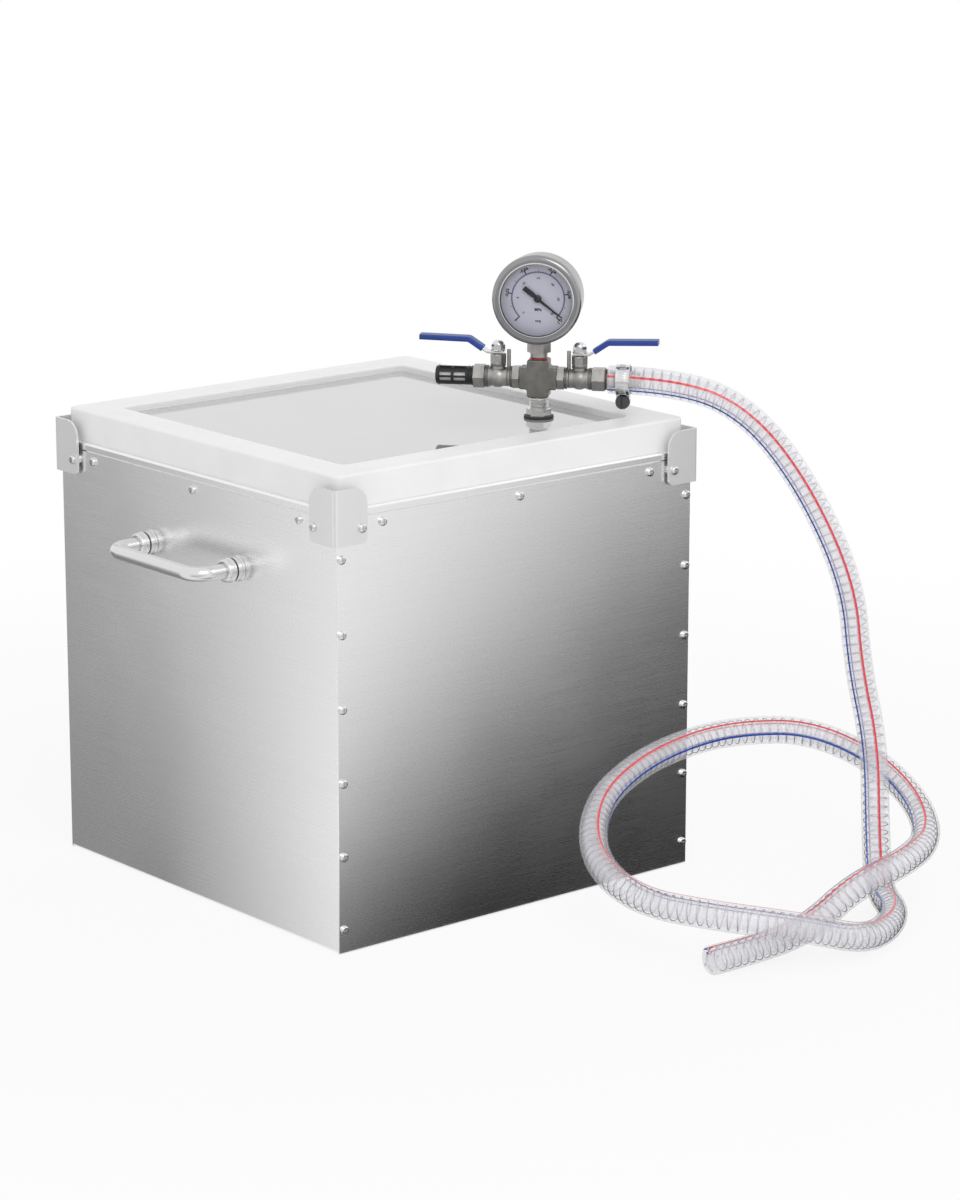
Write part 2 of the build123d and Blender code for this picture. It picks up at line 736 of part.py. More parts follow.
# ------------------------------------------------------------------ hose barb and clamp
with BuildPart() as hose_barb:
    with BuildSketch(outward(1, valve_end_at)):
        RegularPolygon(adapter_hex / 2, 6, major_radius=False)
    extrude(amount=adapter_length + 1.1)
    with BuildSketch(outward(1, valve_end_at - insert_reach)):
        Circle(pipe_thread / 2 - thread_fit)
    extrude(amount=insert_reach)
    with BuildSketch(outward(1, valve_end_at)):
        Circle(barb_shank / 2)
    extrude(amount=barb_end - valve_end_at)
    barb_pitch = (barb_end - hose_start - 1.0) / barb_count
    for n in range(barb_count):
        foot = outward(1, hose_start + 1.0 + barb_pitch * n)
        with BuildSketch(foot):
            Circle(hose_inside / 2 - 0.05)
        with BuildSketch(foot.offset(barb_pitch)):
            Circle(barb_shank / 2)
        loft()
    with BuildSketch(outward(1, valve_end_at - insert_reach)):
        Circle(passage / 2)
    extrude(amount=barb_end, mode=Mode.SUBTRACT)
save(hose_barb.part, "hose_barb")

band_inside = hose_outside / 2 + clamp_play
band_outside = band_inside + clamp_band
screw_drop = band_outside + clamp_screw_width / 2 - 0.6
with BuildPart() as hose_clamp:
    with BuildSketch(outward(1, clamp_at - clamp_width / 2)):
        Circle(band_outside)
        Circle(band_inside, mode=Mode.SUBTRACT)
    extrude(amount=clamp_width)
    with BuildSketch(dialward(4.5, -screw_drop, clamp_at)):
        RectangleRounded(clamp_width, clamp_screw_width - 1.0, 2.0)
        with Locations((0, clamp_screw_width / 2 - 0.4)):
            Rectangle(clamp_width, 2.0)
    extrude(amount=9.0)
    with BuildSketch(outward(1, clamp_at - clamp_width / 2)):
        Circle(band_inside)
    extrude(amount=clamp_width, mode=Mode.SUBTRACT)
    with BuildSketch(dialward(6.0, -screw_drop, clamp_at)):
        Circle(5.6 / 2 + thread_play)
    extrude(amount=12.0, mode=Mode.SUBTRACT)
save(hose_clamp.part, "hose_clamp")

with BuildPart() as clamp_screw:
    with BuildSketch(dialward(6.0, -screw_drop, clamp_at)):
        Circle(5.6 / 2)
    extrude(amount=clamp_screw_length - 4.0)
    with BuildSketch(dialward(-4.8, -screw_drop, clamp_at)):
        Circle(clamp_screw_width / 2)
    extrude(amount=4.0)
    with BuildSketch(dialward(-8.8, -screw_drop, clamp_at)):
        Rectangle(1.2, clamp_screw_width)
    extrude(amount=-1.6, mode=Mode.SUBTRACT)
save(clamp_screw.part, "clamp_screw")

# ------------------------------------------------------------------ gauge
with BuildPart() as gauge_socket:
    with BuildSketch(level(cross_half - thread_reach)):
        Circle(pipe_thread / 2 - thread_fit)
    extrude(amount=socket_low - cross_half + thread_reach)
    with BuildSketch(level(socket_low)):
        Circle(socket_neck / 2)
    extrude(amount=3.2)
    socket_shoulder = socket_low + 3.0
    case_low = gauge_height - gauge_case / 2
    with BuildSketch(level(socket_shoulder)):
        RegularPolygon(socket_hex / 2, 6, major_radius=False)
    extrude(amount=case_low + 0.6 - socket_shoulder)
    with BuildSketch(dialward(0)):
        Circle(gauge_case / 2 + weld_gap)
        Circle(gauge_case / 4, mode=Mode.SUBTRACT)
    extrude(amount=socket_hex, both=True, mode=Mode.SUBTRACT)
    with BuildSketch(level(case_low - 1.0)):
        Rectangle(socket_pillar, socket_pillar)
    extrude(amount=15.0)
    with BuildSketch(level(0)):
        Circle(1.5)
    extrude(amount=case_low + 12.0, mode=Mode.SUBTRACT)
save(gauge_socket.part, "gauge_socket")

with BuildPart() as gauge_case_part:
    with BuildSketch(dialward(case_back)):
        Circle(gauge_case / 2)
    extrude(amount=case_back + case_front)
    rims = gauge_case_part.edges().filter_by(GeomType.CIRCLE)
    back_rim = rims.sort_by(lambda e: (e.center() - rig_point(0, case_back, gauge_height)).length)[:1]
    fillet(back_rim, 2.4)
    with BuildSketch(dialward(case_back - gauge_wall)):
        Circle(gauge_case / 2 - gauge_wall)
    extrude(amount=case_back + case_front, mode=Mode.SUBTRACT)
    with BuildSketch(level(gauge_height - gauge_case / 2 - 1)):
        Rectangle(socket_pillar + 2 * weld_gap, socket_pillar + 2 * weld_gap)
    extrude(amount=4.0, mode=Mode.SUBTRACT)
save(gauge_case_part.part, "gauge_case")

glass_front = case_front + glass_thickness
bezel_front = glass_front + 1.8
with BuildPart() as gauge_bezel:
    with BuildSketch(dialward(-bezel_front + bezel_depth)):
        Circle(bezel_width / 2)
    extrude(amount=bezel_depth)
    rims = gauge_bezel.edges().filter_by(GeomType.CIRCLE)
    front_rim = rims.sort_by(lambda e: (e.center() - rig_point(0, -bezel_front, gauge_height)).length)
    fillet(front_rim[:1], 3.0)
    with BuildSketch(dialward(-bezel_front + bezel_depth)):
        Circle(gauge_case / 2 + thread_fit)
    extrude(amount=bezel_depth - (bezel_front - glass_front), mode=Mode.SUBTRACT)
    with BuildSketch(dialward(-bezel_front + bezel_depth)):
        Circle(dial_opening / 2)
    extrude(amount=bezel_depth, mode=Mode.SUBTRACT)
save(gauge_bezel.part, "gauge_bezel")

with BuildPart() as gauge_glass:
    with BuildSketch(dialward(-case_front)):
        Circle(gauge_case / 2 - gauge_wall / 2)
    extrude(amount=glass_thickness)
save(gauge_glass.part, "gauge_glass")

dial_radius = gauge_case / 2 - gauge_wall - weld_gap
with BuildPart() as gauge_dial:
    with BuildSketch(dialward(-dial_face + dial_thickness)):
        Circle(dial_radius)
        Circle(arbor, mode=Mode.SUBTRACT)
    extrude(amount=dial_thickness)
save(gauge_dial.part, "gauge_dial")

# the works behind the dial: a C-shaped pressure tube, and two plates round the arbor's pinion
pillar_top = gauge_height - gauge_case / 2 + 14.0
with BuildPart() as pressure_tube:
    with BuildLine(dialward(works_back)) as coil:
        CenterArc((0, 0), tube_radius, -82, 262)
    tube_line = coil.edges()[0]
    with BuildSketch(Plane(origin=tube_line @ 0, x_dir=rig.y_dir, z_dir=tube_line % 0)):
        Ellipse(3.4, 1.5)
    sweep(path=coil.wires()[0])
save(pressure_tube.part, "pressure_tube")

works_front = -dial_face + dial_thickness
with BuildPart() as movement:
    with BuildSketch(dialward(works_front + plate_gap + works_plate)):
        Rectangle(works_width, works_height)
        Circle(arbor / 2 + ball_play, mode=Mode.SUBTRACT)
    extrude(amount=works_plate)
    with BuildSketch(dialward(works_front + works_plate)):
        Rectangle(works_width, works_height)
        Circle(arbor / 2 + ball_play, mode=Mode.SUBTRACT)
    extrude(amount=works_plate)
    with BuildSketch(dialward(works_front + plate_gap)):
        with GridLocations(works_width - 3.0, works_height - 3.0, 2, 2):
            Circle(1.2)
    extrude(amount=plate_gap - works_plate)
    with BuildSketch(dialward(works_front + plate_gap + works_plate)):
        with Locations((0, pillar_top - gauge_height)):
            Rectangle(8.0, gauge_height - pillar_top - works_height / 2, align=(Align.CENTER, Align.MIN))
    extrude(amount=works_plate)
save(movement.part, "movement")

pointer_back = -dial_face - pointer_lift
with BuildPart() as pointer:
    with BuildSketch(dialward(pointer_back)):
        tip_width = 0.7
        neck_width = 1.5
        tail_width = 3.2
        Polygon(
            (0, -neck_width / 2), (pointer_tip, -tip_width / 2), (pointer_tip, tip_width / 2),
            (0, neck_width / 2), rotation=pointer_rest, align=None,
        )
        Polygon(
            (0, -neck_width / 2), (0, neck_width / 2), (-4.0, tail_width / 2),
            (-pointer_tail, tail_width / 2), (-pointer_tail, -tail_width / 2), (-4.0, -tail_width / 2),
            rotation=pointer_rest, align=None,
        )
        Circle(2.6)
    extrude(amount=pointer_thickness)
    with BuildSketch(dialward(pointer_back - pointer_thickness)):
        Circle(1.3)
    extrude(amount=0.8)
    arbor_back = works_front + plate_gap + 1.4
    with BuildSketch(dialward(arbor_back)):
        Circle(arbor / 2)
    extrude(amount=arbor_back - pointer_back)
save(pointer.part, "gauge_pointer")

# ------------------------------------------------------------------ hose
# route of the hose's middle: out of the barb, over the front right corner, down to the floor,
# once round in a loop that leans on the casing's corner, over itself and under itself
floor = hose_outside / 2
route = [
    rig_point(hose_start, 0, 0),
    rig_point(hose_start + hose_straight, 0, 0),
    (179, -176, 314),
    (204, -205, 266),
    (224, -229, 200),
    (227, -234, 143),
    (229, -249, 92),
    (213, -268, 38),
    (185, -299, floor),
    (160, -342, floor),
    (109, -367, floor),
    (56, -358, 28),
    (11, -326, 37),
    (-9, -274, 38),
    (2, -220, 50),
    (39, -181, 70),
    (88, -166, 84),
    (137, -163, 91),
    (180, -167, 92),
    (221, -192, 91),
    (246, -231, 75),
    (244, -275, 56),
    (216, -315, 44),
    (172, -336, 42),
    (126, -334, 34),
    (86, -334, 14),
    (42, -331, floor),
    (6, -329, floor),
]
points = [Vector(*place) for place in route]
radii = []
for before, here, after in zip(points, points[1:], points[2:]):
    turn = radians((here - before).get_angle(after - here))
    radii.append(0.45 * min((here - before).length, (after - here).length) / tan(turn / 2))
with BuildPart() as hose:
    with BuildLine() as hose_line:
        FilletPolyline(*points, radius=radii)
    with BuildSketch(Plane(origin=points[0], z_dir=points[1] - points[0])):
        Circle(hose_outside / 2)
        Circle(hose_inside / 2, mode=Mode.SUBTRACT)
    sweep(path=hose_line.wires()[0])
save(hose.part, "hose")
hose_length = sum(edge.length for edge in hose_line.edges())
section = pi / 4 * (hose_outside**2 - hose_inside**2)
print("hose radii", [round(radius) for radius in radii])
print("hose length", round(hose_length, 1))
print("volume ratio", round(hose.part.volume / hose_length / section, 4))
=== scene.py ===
"""Looks of a vacuum degassing chamber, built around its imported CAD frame.

A stainless casing with a clear lid in a white silicone rim. On the lid a cross fitting carries
a dial gauge, a silenced vent valve and a hose valve, from which a wire-wound clear hose runs
down to the floor and lies there in one loose loop. Lengths are metres in the frame's own axes; the
small sizes of the pipe work and the dial are millimetres, which MM turns into metres.
"""

import json
import logging
from dataclasses import dataclass
from enum import Enum
from math import atan2, cos, pi, radians, sin, tau
from typing import Any, Iterable, Sequence, Union

import bmesh
import bpy
from mathutils import Matrix, Vector


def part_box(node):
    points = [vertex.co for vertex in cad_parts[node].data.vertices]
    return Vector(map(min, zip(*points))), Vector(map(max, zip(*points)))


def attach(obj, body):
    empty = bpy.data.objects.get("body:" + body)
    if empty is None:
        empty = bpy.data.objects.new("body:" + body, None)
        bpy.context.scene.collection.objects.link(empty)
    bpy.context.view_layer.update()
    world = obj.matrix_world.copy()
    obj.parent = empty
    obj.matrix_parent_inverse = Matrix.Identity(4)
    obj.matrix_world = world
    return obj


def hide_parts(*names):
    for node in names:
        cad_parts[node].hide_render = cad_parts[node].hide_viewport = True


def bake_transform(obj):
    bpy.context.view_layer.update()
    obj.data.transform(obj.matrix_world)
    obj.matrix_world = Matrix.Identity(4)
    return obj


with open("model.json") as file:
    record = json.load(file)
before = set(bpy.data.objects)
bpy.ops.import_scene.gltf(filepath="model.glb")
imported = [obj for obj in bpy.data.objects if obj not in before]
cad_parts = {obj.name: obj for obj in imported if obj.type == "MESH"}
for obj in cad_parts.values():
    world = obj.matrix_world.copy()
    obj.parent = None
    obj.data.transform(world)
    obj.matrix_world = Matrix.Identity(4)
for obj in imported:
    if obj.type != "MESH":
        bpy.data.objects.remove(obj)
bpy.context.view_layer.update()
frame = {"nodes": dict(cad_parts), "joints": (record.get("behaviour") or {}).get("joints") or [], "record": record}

log = logging.getLogger("vacuum_chamber")
MM = 0.001
Colour = tuple[float, float, float]
Outline = Sequence[tuple[float, float]]


class Grain(Enum):
    """Which way a brushed or drawn finish runs, as noise frequencies per metre along x, y and z."""

    LEVEL = (14.0, 14.0, 1900.0)
    UPRIGHT = (1500.0, 1500.0, 14.0)
    NONE = (700.0, 700.0, 700.0)


class Signal:
    """One shader socket with arithmetic: an expression on signals adds its Math nodes."""

    def __init__(self, shader: "Shader", socket: bpy.types.NodeSocket) -> None:
        """Wrap an output socket of a shader's tree."""
        self.shader = shader
        self.socket = socket

    def math(self, operation: str, *values: "Input") -> "Signal":
        """Add one Math node.

        Args:
            operation: the node's operation, such as MULTIPLY.
            values: its inputs, in order.

        Returns:
            The node's result.
        """
        return self.shader.node("ShaderNodeMath", {"operation": operation}, dict(enumerate(values)))

    def __add__(self, other: "Input") -> "Signal":
        """Signal plus a value."""
        return self.math("ADD", self, other)

    def __radd__(self, other: "Input") -> "Signal":
        """A value plus the signal."""
        return self.math("ADD", other, self)

    def __sub__(self, other: "Input") -> "Signal":
        """Signal less a value."""
        return self.math("SUBTRACT", self, other)

    def __rsub__(self, other: "Input") -> "Signal":
        """A value less the signal."""
        return self.math("SUBTRACT", other, self)

    def __mul__(self, other: "Input") -> "Signal":
        """Signal times a value."""
        return self.math("MULTIPLY", self, other)

    def __rmul__(self, other: "Input") -> "Signal":
        """A value times the signal."""
        return self.math("MULTIPLY", other, self)

    def __truediv__(self, other: "Input") -> "Signal":
        """Signal over a value."""
        return self.math("DIVIDE", self, other)

    def __rtruediv__(self, other: "Input") -> "Signal":
        """A value over the signal."""
        return self.math("DIVIDE", other, self)

    def __pow__(self, other: "Input") -> "Signal":
        """Signal to a power."""
        return self.math("POWER", self, other)

    def __rpow__(self, other: "Input") -> "Signal":
        """A value to the signal's power."""
        return self.math("POWER", other, self)

    def __lt__(self, other: "Input") -> "Signal":
        """One where the signal is below a value."""
        return self.math("LESS_THAN", self, other)

    def __gt__(self, other: "Input") -> "Signal":
        """One where the signal is above a value; the reflected form of below."""
        return self.math("GREATER_THAN", self, other)

    def at_least(self, low: "Input") -> "Signal":
        """The signal, or low where it is less."""
        return self.math("MAXIMUM", self, low)

    def at_most(self, high: "Input") -> "Signal":
        """The signal, or high where it is more."""
        return self.math("MINIMUM", self, high)

    def wave(self) -> "Signal":
        """Sine of the signal."""
        return self.math("SINE", self)

    def size(self) -> "Signal":
        """Absolute value of the signal."""
        return self.math("ABSOLUTE", self)

    def ramp(self, low: float, high: float) -> "Signal":
        """Zero below low, one above high, smooth between them."""
        settings = {"interpolation_type": "SMOOTHSTEP", "clamp": True}
        return self.shader.node("ShaderNodeMapRange", settings, {0: self, 1: low, 2: high})


Input = Union[float, Sequence[float], Signal]


class Shader:
    """One node material, made through a single method that adds nodes."""

    def __init__(self, name: str, world: bool = False) -> None:
        """Start an empty material, or world, of that name."""
        self.material = (bpy.data.worlds if world else bpy.data.materials).new(name)
        self.material.use_nodes = True
        self.tree = self.material.node_tree
        self.tree.nodes.clear()

    def node(
        self, kind: str, settings: dict[str, Any], inputs: dict[Any, Any], output: Union[int, str] = 0
    ) -> Signal:
        """Add a node.

        Args:
            kind: the node's type.
            settings: its own properties, set before its sockets.
            inputs: values or signals by socket name or number.
            output: the socket to return.

        Returns:
            That output as a signal.
        """
        made = self.tree.nodes.new(kind)
        for name, value in settings.items():
            setattr(made, name, value)
        for key, value in inputs.items():
            if isinstance(value, Signal):
                self.tree.links.new(value.socket, made.inputs[key])
            else:
                made.inputs[key].default_value = value
        return Signal(self, made.outputs[output])

    def place(self, scale: Sequence[float] = (1, 1, 1), turn: float = 0.0) -> Signal:
        """Object coordinates, scaled and turned about Z."""
        here = self.node("ShaderNodeTexCoord", {}, {}, "Object")
        return self.node("ShaderNodeMapping", {}, {"Vector": here, "Rotation": (0, 0, turn), "Scale": scale})

    def split(self, vector: Signal) -> tuple[Signal, Signal, Signal]:
        """The three numbers of a vector."""
        made = self.node("ShaderNodeSeparateXYZ", {}, {0: vector})
        outputs = made.socket.node.outputs
        return tuple(Signal(self, outputs[n]) for n in range(3))

    def noise(self, vector: Signal, scale: float, detail: float = 3.0, rough: float = 0.55) -> Signal:
        """Noise from 0 to 1 on a vector."""
        inputs = {"Vector": vector, "Scale": scale, "Detail": detail, "Roughness": rough}
        return self.node("ShaderNodeTexNoise", {}, inputs)

    def blend(self, factor: Input, first: Union[Colour, Signal], second: Union[Colour, Signal]) -> Signal:
        """Mix two colours by a factor."""
        first, second = (c if isinstance(c, Signal) else (*c, 1.0) for c in (first, second))
        return self.node("ShaderNodeMix", {"data_type": "RGBA"}, {0: factor, 6: first, 7: second}, 2)

    def bump(self, height: Signal, distance: float, strength: float = 1.0) -> Signal:
        """A normal from a height between 0 and 1 and its full depth in metres."""
        return self.node("ShaderNodeBump", {}, {"Height": height, "Distance": distance, "Strength": strength})

    def surface(self, **sockets: Input) -> bpy.types.Material:
        """End the tree with a Principled shader.

        Args:
            sockets: its inputs, with underscores for the spaces in their names.

        Returns:
            The finished material.
        """
        inputs = {name.replace("_", " "): value for name, value in sockets.items()}
        return self.end(self.node("ShaderNodeBsdfPrincipled", {}, inputs))

    def end(self, shader: Signal, kind: str = "ShaderNodeOutputMaterial") -> bpy.types.ID:
        """Link a shader to the output, and return the material or world."""
        self.tree.links.new(shader.socket, self.tree.nodes.new(kind).inputs["Surface"])
        return self.material


# ---------------- finishes


def toned(tint: Colour, share: float) -> Colour:
    """A tint made darker or lighter by a share."""
    return tuple(min(1.0, c * share) for c in tint)


class Finish:
    """A way to look; each kind of finish makes a material from its own numbers."""

    def make(self, name: str) -> bpy.types.Material:
        """Build the finish.

        Args:
            name: the material's name.

        Returns:
            The material.
        """
        raise NotImplementedError(name)


@dataclass(frozen=True)
class Steel(Finish):
    """Stainless steel: drawn grain, soft stains, and a little dirt in its tone."""

    tint: Colour
    rough: float
    grain: Grain = Grain.LEVEL
    grain_depth: float = 0.000006
    stain: float = 0.04
    metal: float = 1.0

    def make(self, name: str) -> bpy.types.Material:
        """Build the finish."""
        shader = Shader(name)
        fine = shader.noise(shader.place(self.grain.value), 1.0, 4.0, 0.7)
        coarse = shader.noise(shader.place([g * 0.16 for g in self.grain.value]), 1.0, 2.0)
        cloud = shader.noise(shader.place(), 9.0, 2.0)
        tone = 1.0 - self.stain * 0.5 + (coarse - 0.5) * self.stain + (cloud - 0.5) * self.stain
        colour = shader.blend((tone - 0.8) / 0.3, toned(self.tint, 0.80), toned(self.tint, 1.05))
        rough = self.rough + (fine - 0.5) * 0.10 + (cloud - 0.5) * 0.08
        return shader.surface(
            Base_Color=colour, Metallic=self.metal, Roughness=rough,
            Normal=shader.bump(fine, self.grain_depth),
        )


@dataclass(frozen=True)
class Cast(Finish):
    """Blasted cast steel: warm grey, grainy, darker in its blotches."""

    tint: Colour = (0.225, 0.215, 0.202)
    rough: float = 0.42
    grain: float = 1700.0
    depth: float = 0.00012
    metal: float = 0.85

    def make(self, name: str) -> bpy.types.Material:
        """Build the finish."""
        shader = Shader(name)
        pits = shader.noise(shader.place(), self.grain, 3.0, 0.6)
        patch = shader.noise(shader.place(), 120.0, 3.0)
        colour = shader.blend(patch.ramp(0.3, 0.75), toned(self.tint, 0.72), self.tint)
        colour = shader.blend(pits.ramp(0.60, 0.78) * 0.5, colour, toned(self.tint, 1.5))
        rough = self.rough + (pits - 0.5) * 0.25
        return shader.surface(
            Base_Color=colour, Metallic=self.metal, Roughness=rough, Normal=shader.bump(pits, self.depth)
        )


@dataclass(frozen=True)
class Moulded(Finish):
    """Rubber, plastic, silicone or vinyl: fine skin, slight shade variation, dust-free gloss."""

    tint: Colour
    rough: float = 0.4
    skin: float = 900.0
    depth: float = 0.00004
    shade: float = 0.06
    coat: float = 0.0

    def make(self, name: str) -> bpy.types.Material:
        """Build the finish."""
        shader = Shader(name)
        skin = shader.noise(shader.place(), self.skin, 3.0, 0.6)
        cloud = shader.noise(shader.place(), 28.0, 3.0)
        colour = shader.blend(cloud.ramp(0.25, 0.7), toned(self.tint, 1.0 - 2 * self.shade), self.tint)
        rough = self.rough + (skin - 0.5) * 0.2 + (cloud - 0.5) * 0.1
        return shader.surface(
            Base_Color=colour, Roughness=rough, Normal=shader.bump(skin, self.depth), Coat_Weight=self.coat,
            Coat_Roughness=0.12,
        )


@dataclass(frozen=True)
class Clear(Finish):
    """A clear sheet: thin body colour, mirror gloss, faint wipe marks in its roughness."""

    tint: Colour
    body: float
    rough: float
    smear: float
    gloss: float

    def make(self, name: str) -> bpy.types.Material:
        """Build the finish."""
        shader = Shader(name)
        wipe = shader.noise(shader.place((6.0, 40.0, 10.0), 0.6), 1.0, 4.0)
        cloud = shader.noise(shader.place(), 4.0, 2.0)
        colour = shader.blend(cloud.ramp(0.3, 0.7), toned(self.tint, 0.94), self.tint)
        rim = shader.node("ShaderNodeLayerWeight", {}, {"Blend": 0.3}, "Facing")
        alpha = self.body + rim * rim * (1.0 - self.body) * 0.4 + (wipe - 0.5) * 0.03
        return shader.surface(
            Base_Color=colour, Roughness=self.rough + wipe.ramp(0.45, 0.8) * self.smear, Alpha=alpha,
            IOR=1.49, Coat_Weight=self.gloss, Coat_Roughness=0.02,
            Normal=shader.bump(cloud, 0.00002),
        )


@dataclass(frozen=True)
class WoundHose(Finish):
    """Clear hose wall: two printed stripes, ripples over the wire, and random clouds in its tone and clearness."""

    tint: Colour = (0.97, 0.955, 1.0)
    blue: Colour = (0.02, 0.07, 0.42)
    red: Colour = (0.72, 0.03, 0.05)
    body: float = 0.30
    blue_at: float = 0.10
    red_at: float = 0.935
    stripe: float = 0.024

    def make(self, name: str) -> bpy.types.Material:
        """Build the finish; the UV map that it reads runs round the wall and along in wire turns."""
        shader = Shader(name)
        chart = shader.node("ShaderNodeTexCoord", {}, {}, "UV")
        around, along, _ = shader.split(chart)
        ripple = ((along - around) * tau).wave() * 0.5 + 0.5
        cloud = shader.noise(shader.place(), 60.0, 3.0)
        haze = shader.noise(shader.place(), 420.0, 2.0)
        is_blue = (around - self.blue_at).size() < self.stripe / 2
        is_red = (around - self.red_at).size() < self.stripe / 2
        colour = shader.blend(cloud.ramp(0.3, 0.75), toned(self.tint, 0.92), self.tint)
        colour = shader.blend(is_red, shader.blend(is_blue, colour, self.blue), self.red)
        alpha = self.body + (ripple - 0.5) * 0.10 + (cloud - 0.5) * 0.14 + (is_blue + is_red)
        return shader.surface(
            Base_Color=colour, Roughness=0.14 + haze * 0.14, Alpha=alpha, Coat_Weight=0.6,
            Coat_Roughness=0.06, IOR=1.53, Normal=shader.bump(ripple, 0.00035, 0.8),
        )


FINISHES = {
    "brushed_stainless": Steel((0.93, 0.93, 0.93), 0.27),
    "bright_stainless": Steel((0.76, 0.76, 0.76), 0.20, Grain.UPRIGHT, 0.000004, 0.05),
    "cast_stainless": Cast(),
    "white_silicone": Moulded((0.93, 0.93, 0.93), 0.38, 700.0, 0.00003, 0.02),
    "acrylic": Clear((0.56, 0.565, 0.57), 0.92, 0.02, 0.02, 1.0),
    "black_rubber": Moulded((0.03, 0.03, 0.032), 0.6, 1200.0, 0.00006, 0.15),
    "red_sealant": Moulded((0.42, 0.02, 0.015), 0.3, 1600.0, 0.00025, 0.25, 0.4),
    "black_plastic": Moulded((0.012, 0.012, 0.013), 0.38, 1000.0, 0.00004, 0.2),
    "white_plastic": Moulded((0.82, 0.82, 0.80), 0.5, 1500.0, 0.00018, 0.08),
    "dark_steel": Cast((0.10, 0.10, 0.105), 0.35, 1500.0, 0.00006, 0.9),
    "gauge_glass": Clear((0.30, 0.30, 0.32), 0.02, 0.02, 0.02, 0.0),
    "dial_white": Moulded((0.63, 0.625, 0.74), 0.45, 500.0, 0.00001, 0.04),
    "brass": Steel((0.66, 0.46, 0.20), 0.26, Grain.NONE, 0.000006, 0.16),
    "pointer_black": Moulded((0.006, 0.006, 0.009), 0.4, 900.0, 0.00002, 0.2),
    "blue_vinyl": Moulded((0.006, 0.050, 0.33), 0.42, 700.0, 0.00006, 0.15, 0.12),
    "clear_pvc": WoundHose(),
    # kinds of a slot's finish that some pieces have; the bezel's darker steel is painted shade and the fittings'
    # lighter cast steel is painted highlight
    "satin_bracket": Steel((0.82, 0.82, 0.825), 0.34, Grain.UPRIGHT, 0.000006, 0.05, metal=0.55),
    # a darker copy of the steel for the bezel and the gauge case: its dark tone is painted shade, the dark
    # surroundings that the steel would reflect
    "painted_shade_bezel": Steel((0.34, 0.34, 0.35), 0.20, Grain.NONE, 0.000004, 0.10),
    # a lighter copy of the cast steel for the valves and the turned fittings: its lighter tone is painted
    # highlight
    "painted_highlight_fitting": Cast((0.43, 0.42, 0.405), 0.34, 1300.0, 0.00006, 0.9),
    "plated_fitting": Steel((0.60, 0.59, 0.58), 0.22, Grain.NONE, 0.000004, 0.12),
    "spring_wire": Steel((0.42, 0.42, 0.48), 0.30, Grain.NONE, 0.000002, 0.10),
    "violet_print": Moulded((0.16, 0.15, 0.30), 0.5, 900.0, 0.00001, 0.10),
}
KINDS = {
    # the valves and the turned fittings get the lighter cast steel, whose tone is painted highlight
    "painted_highlight_fitting": [
        "vent_valve_body", "vent_valve_gland", "hose_valve_body", "hose_valve_gland",
        "silencer_adapter", "hose_barb", "gauge_socket", "vent_stem", "hose_stem",
    ],
    "plated_fitting": ["lid_fitting", "lock_nut"],
    "satin_bracket": [
        "bracket_front_left", "bracket_front_right", "bracket_back_right", "bracket_back_left",
    ],
    # the bezel and the gauge case get the darker steel, whose tone is painted shade
    "painted_shade_bezel": ["gauge_bezel", "gauge_case"],
}


# ---------------- making


def metres(outline: Outline) -> list[tuple[float, float]]:
    """An outline that is in millimetres, in metres."""
    return [(r * MM, h * MM) for r, h in outline]


def meshed(data: bpy.types.Curve) -> bpy.types.Mesh:
    """Turn a curve or a text into a mesh and drop the curve.

    Args:
        data: the curve, which is removed.

    Returns:
        Its mesh.
    """
    holder = bpy.data.objects.new(data.name, data)
    bpy.context.scene.collection.objects.link(holder)
    bpy.context.view_layer.update()
    mesh = bpy.data.meshes.new_from_object(holder)
    bpy.data.objects.remove(holder)
    bpy.data.curves.remove(data)
    return mesh


@dataclass(frozen=True)
class Ring:
    """A turned ring in millimetres: its radii, its ends along the axis, its corners' cut."""

    inside: float
    outside: float
    low: float
    high: float
    soft: float

    def outline(self) -> list[tuple[float, float]]:
        """The ring's section, as points of (radius, height) in metres."""
        brow = self.outside - self.soft
        section = [(self.inside, self.low), (brow, self.low), (self.outside, self.low + self.soft)]
        section += [(self.outside, self.high - self.soft), (brow, self.high), (self.inside, self.high)]
        return metres(section)


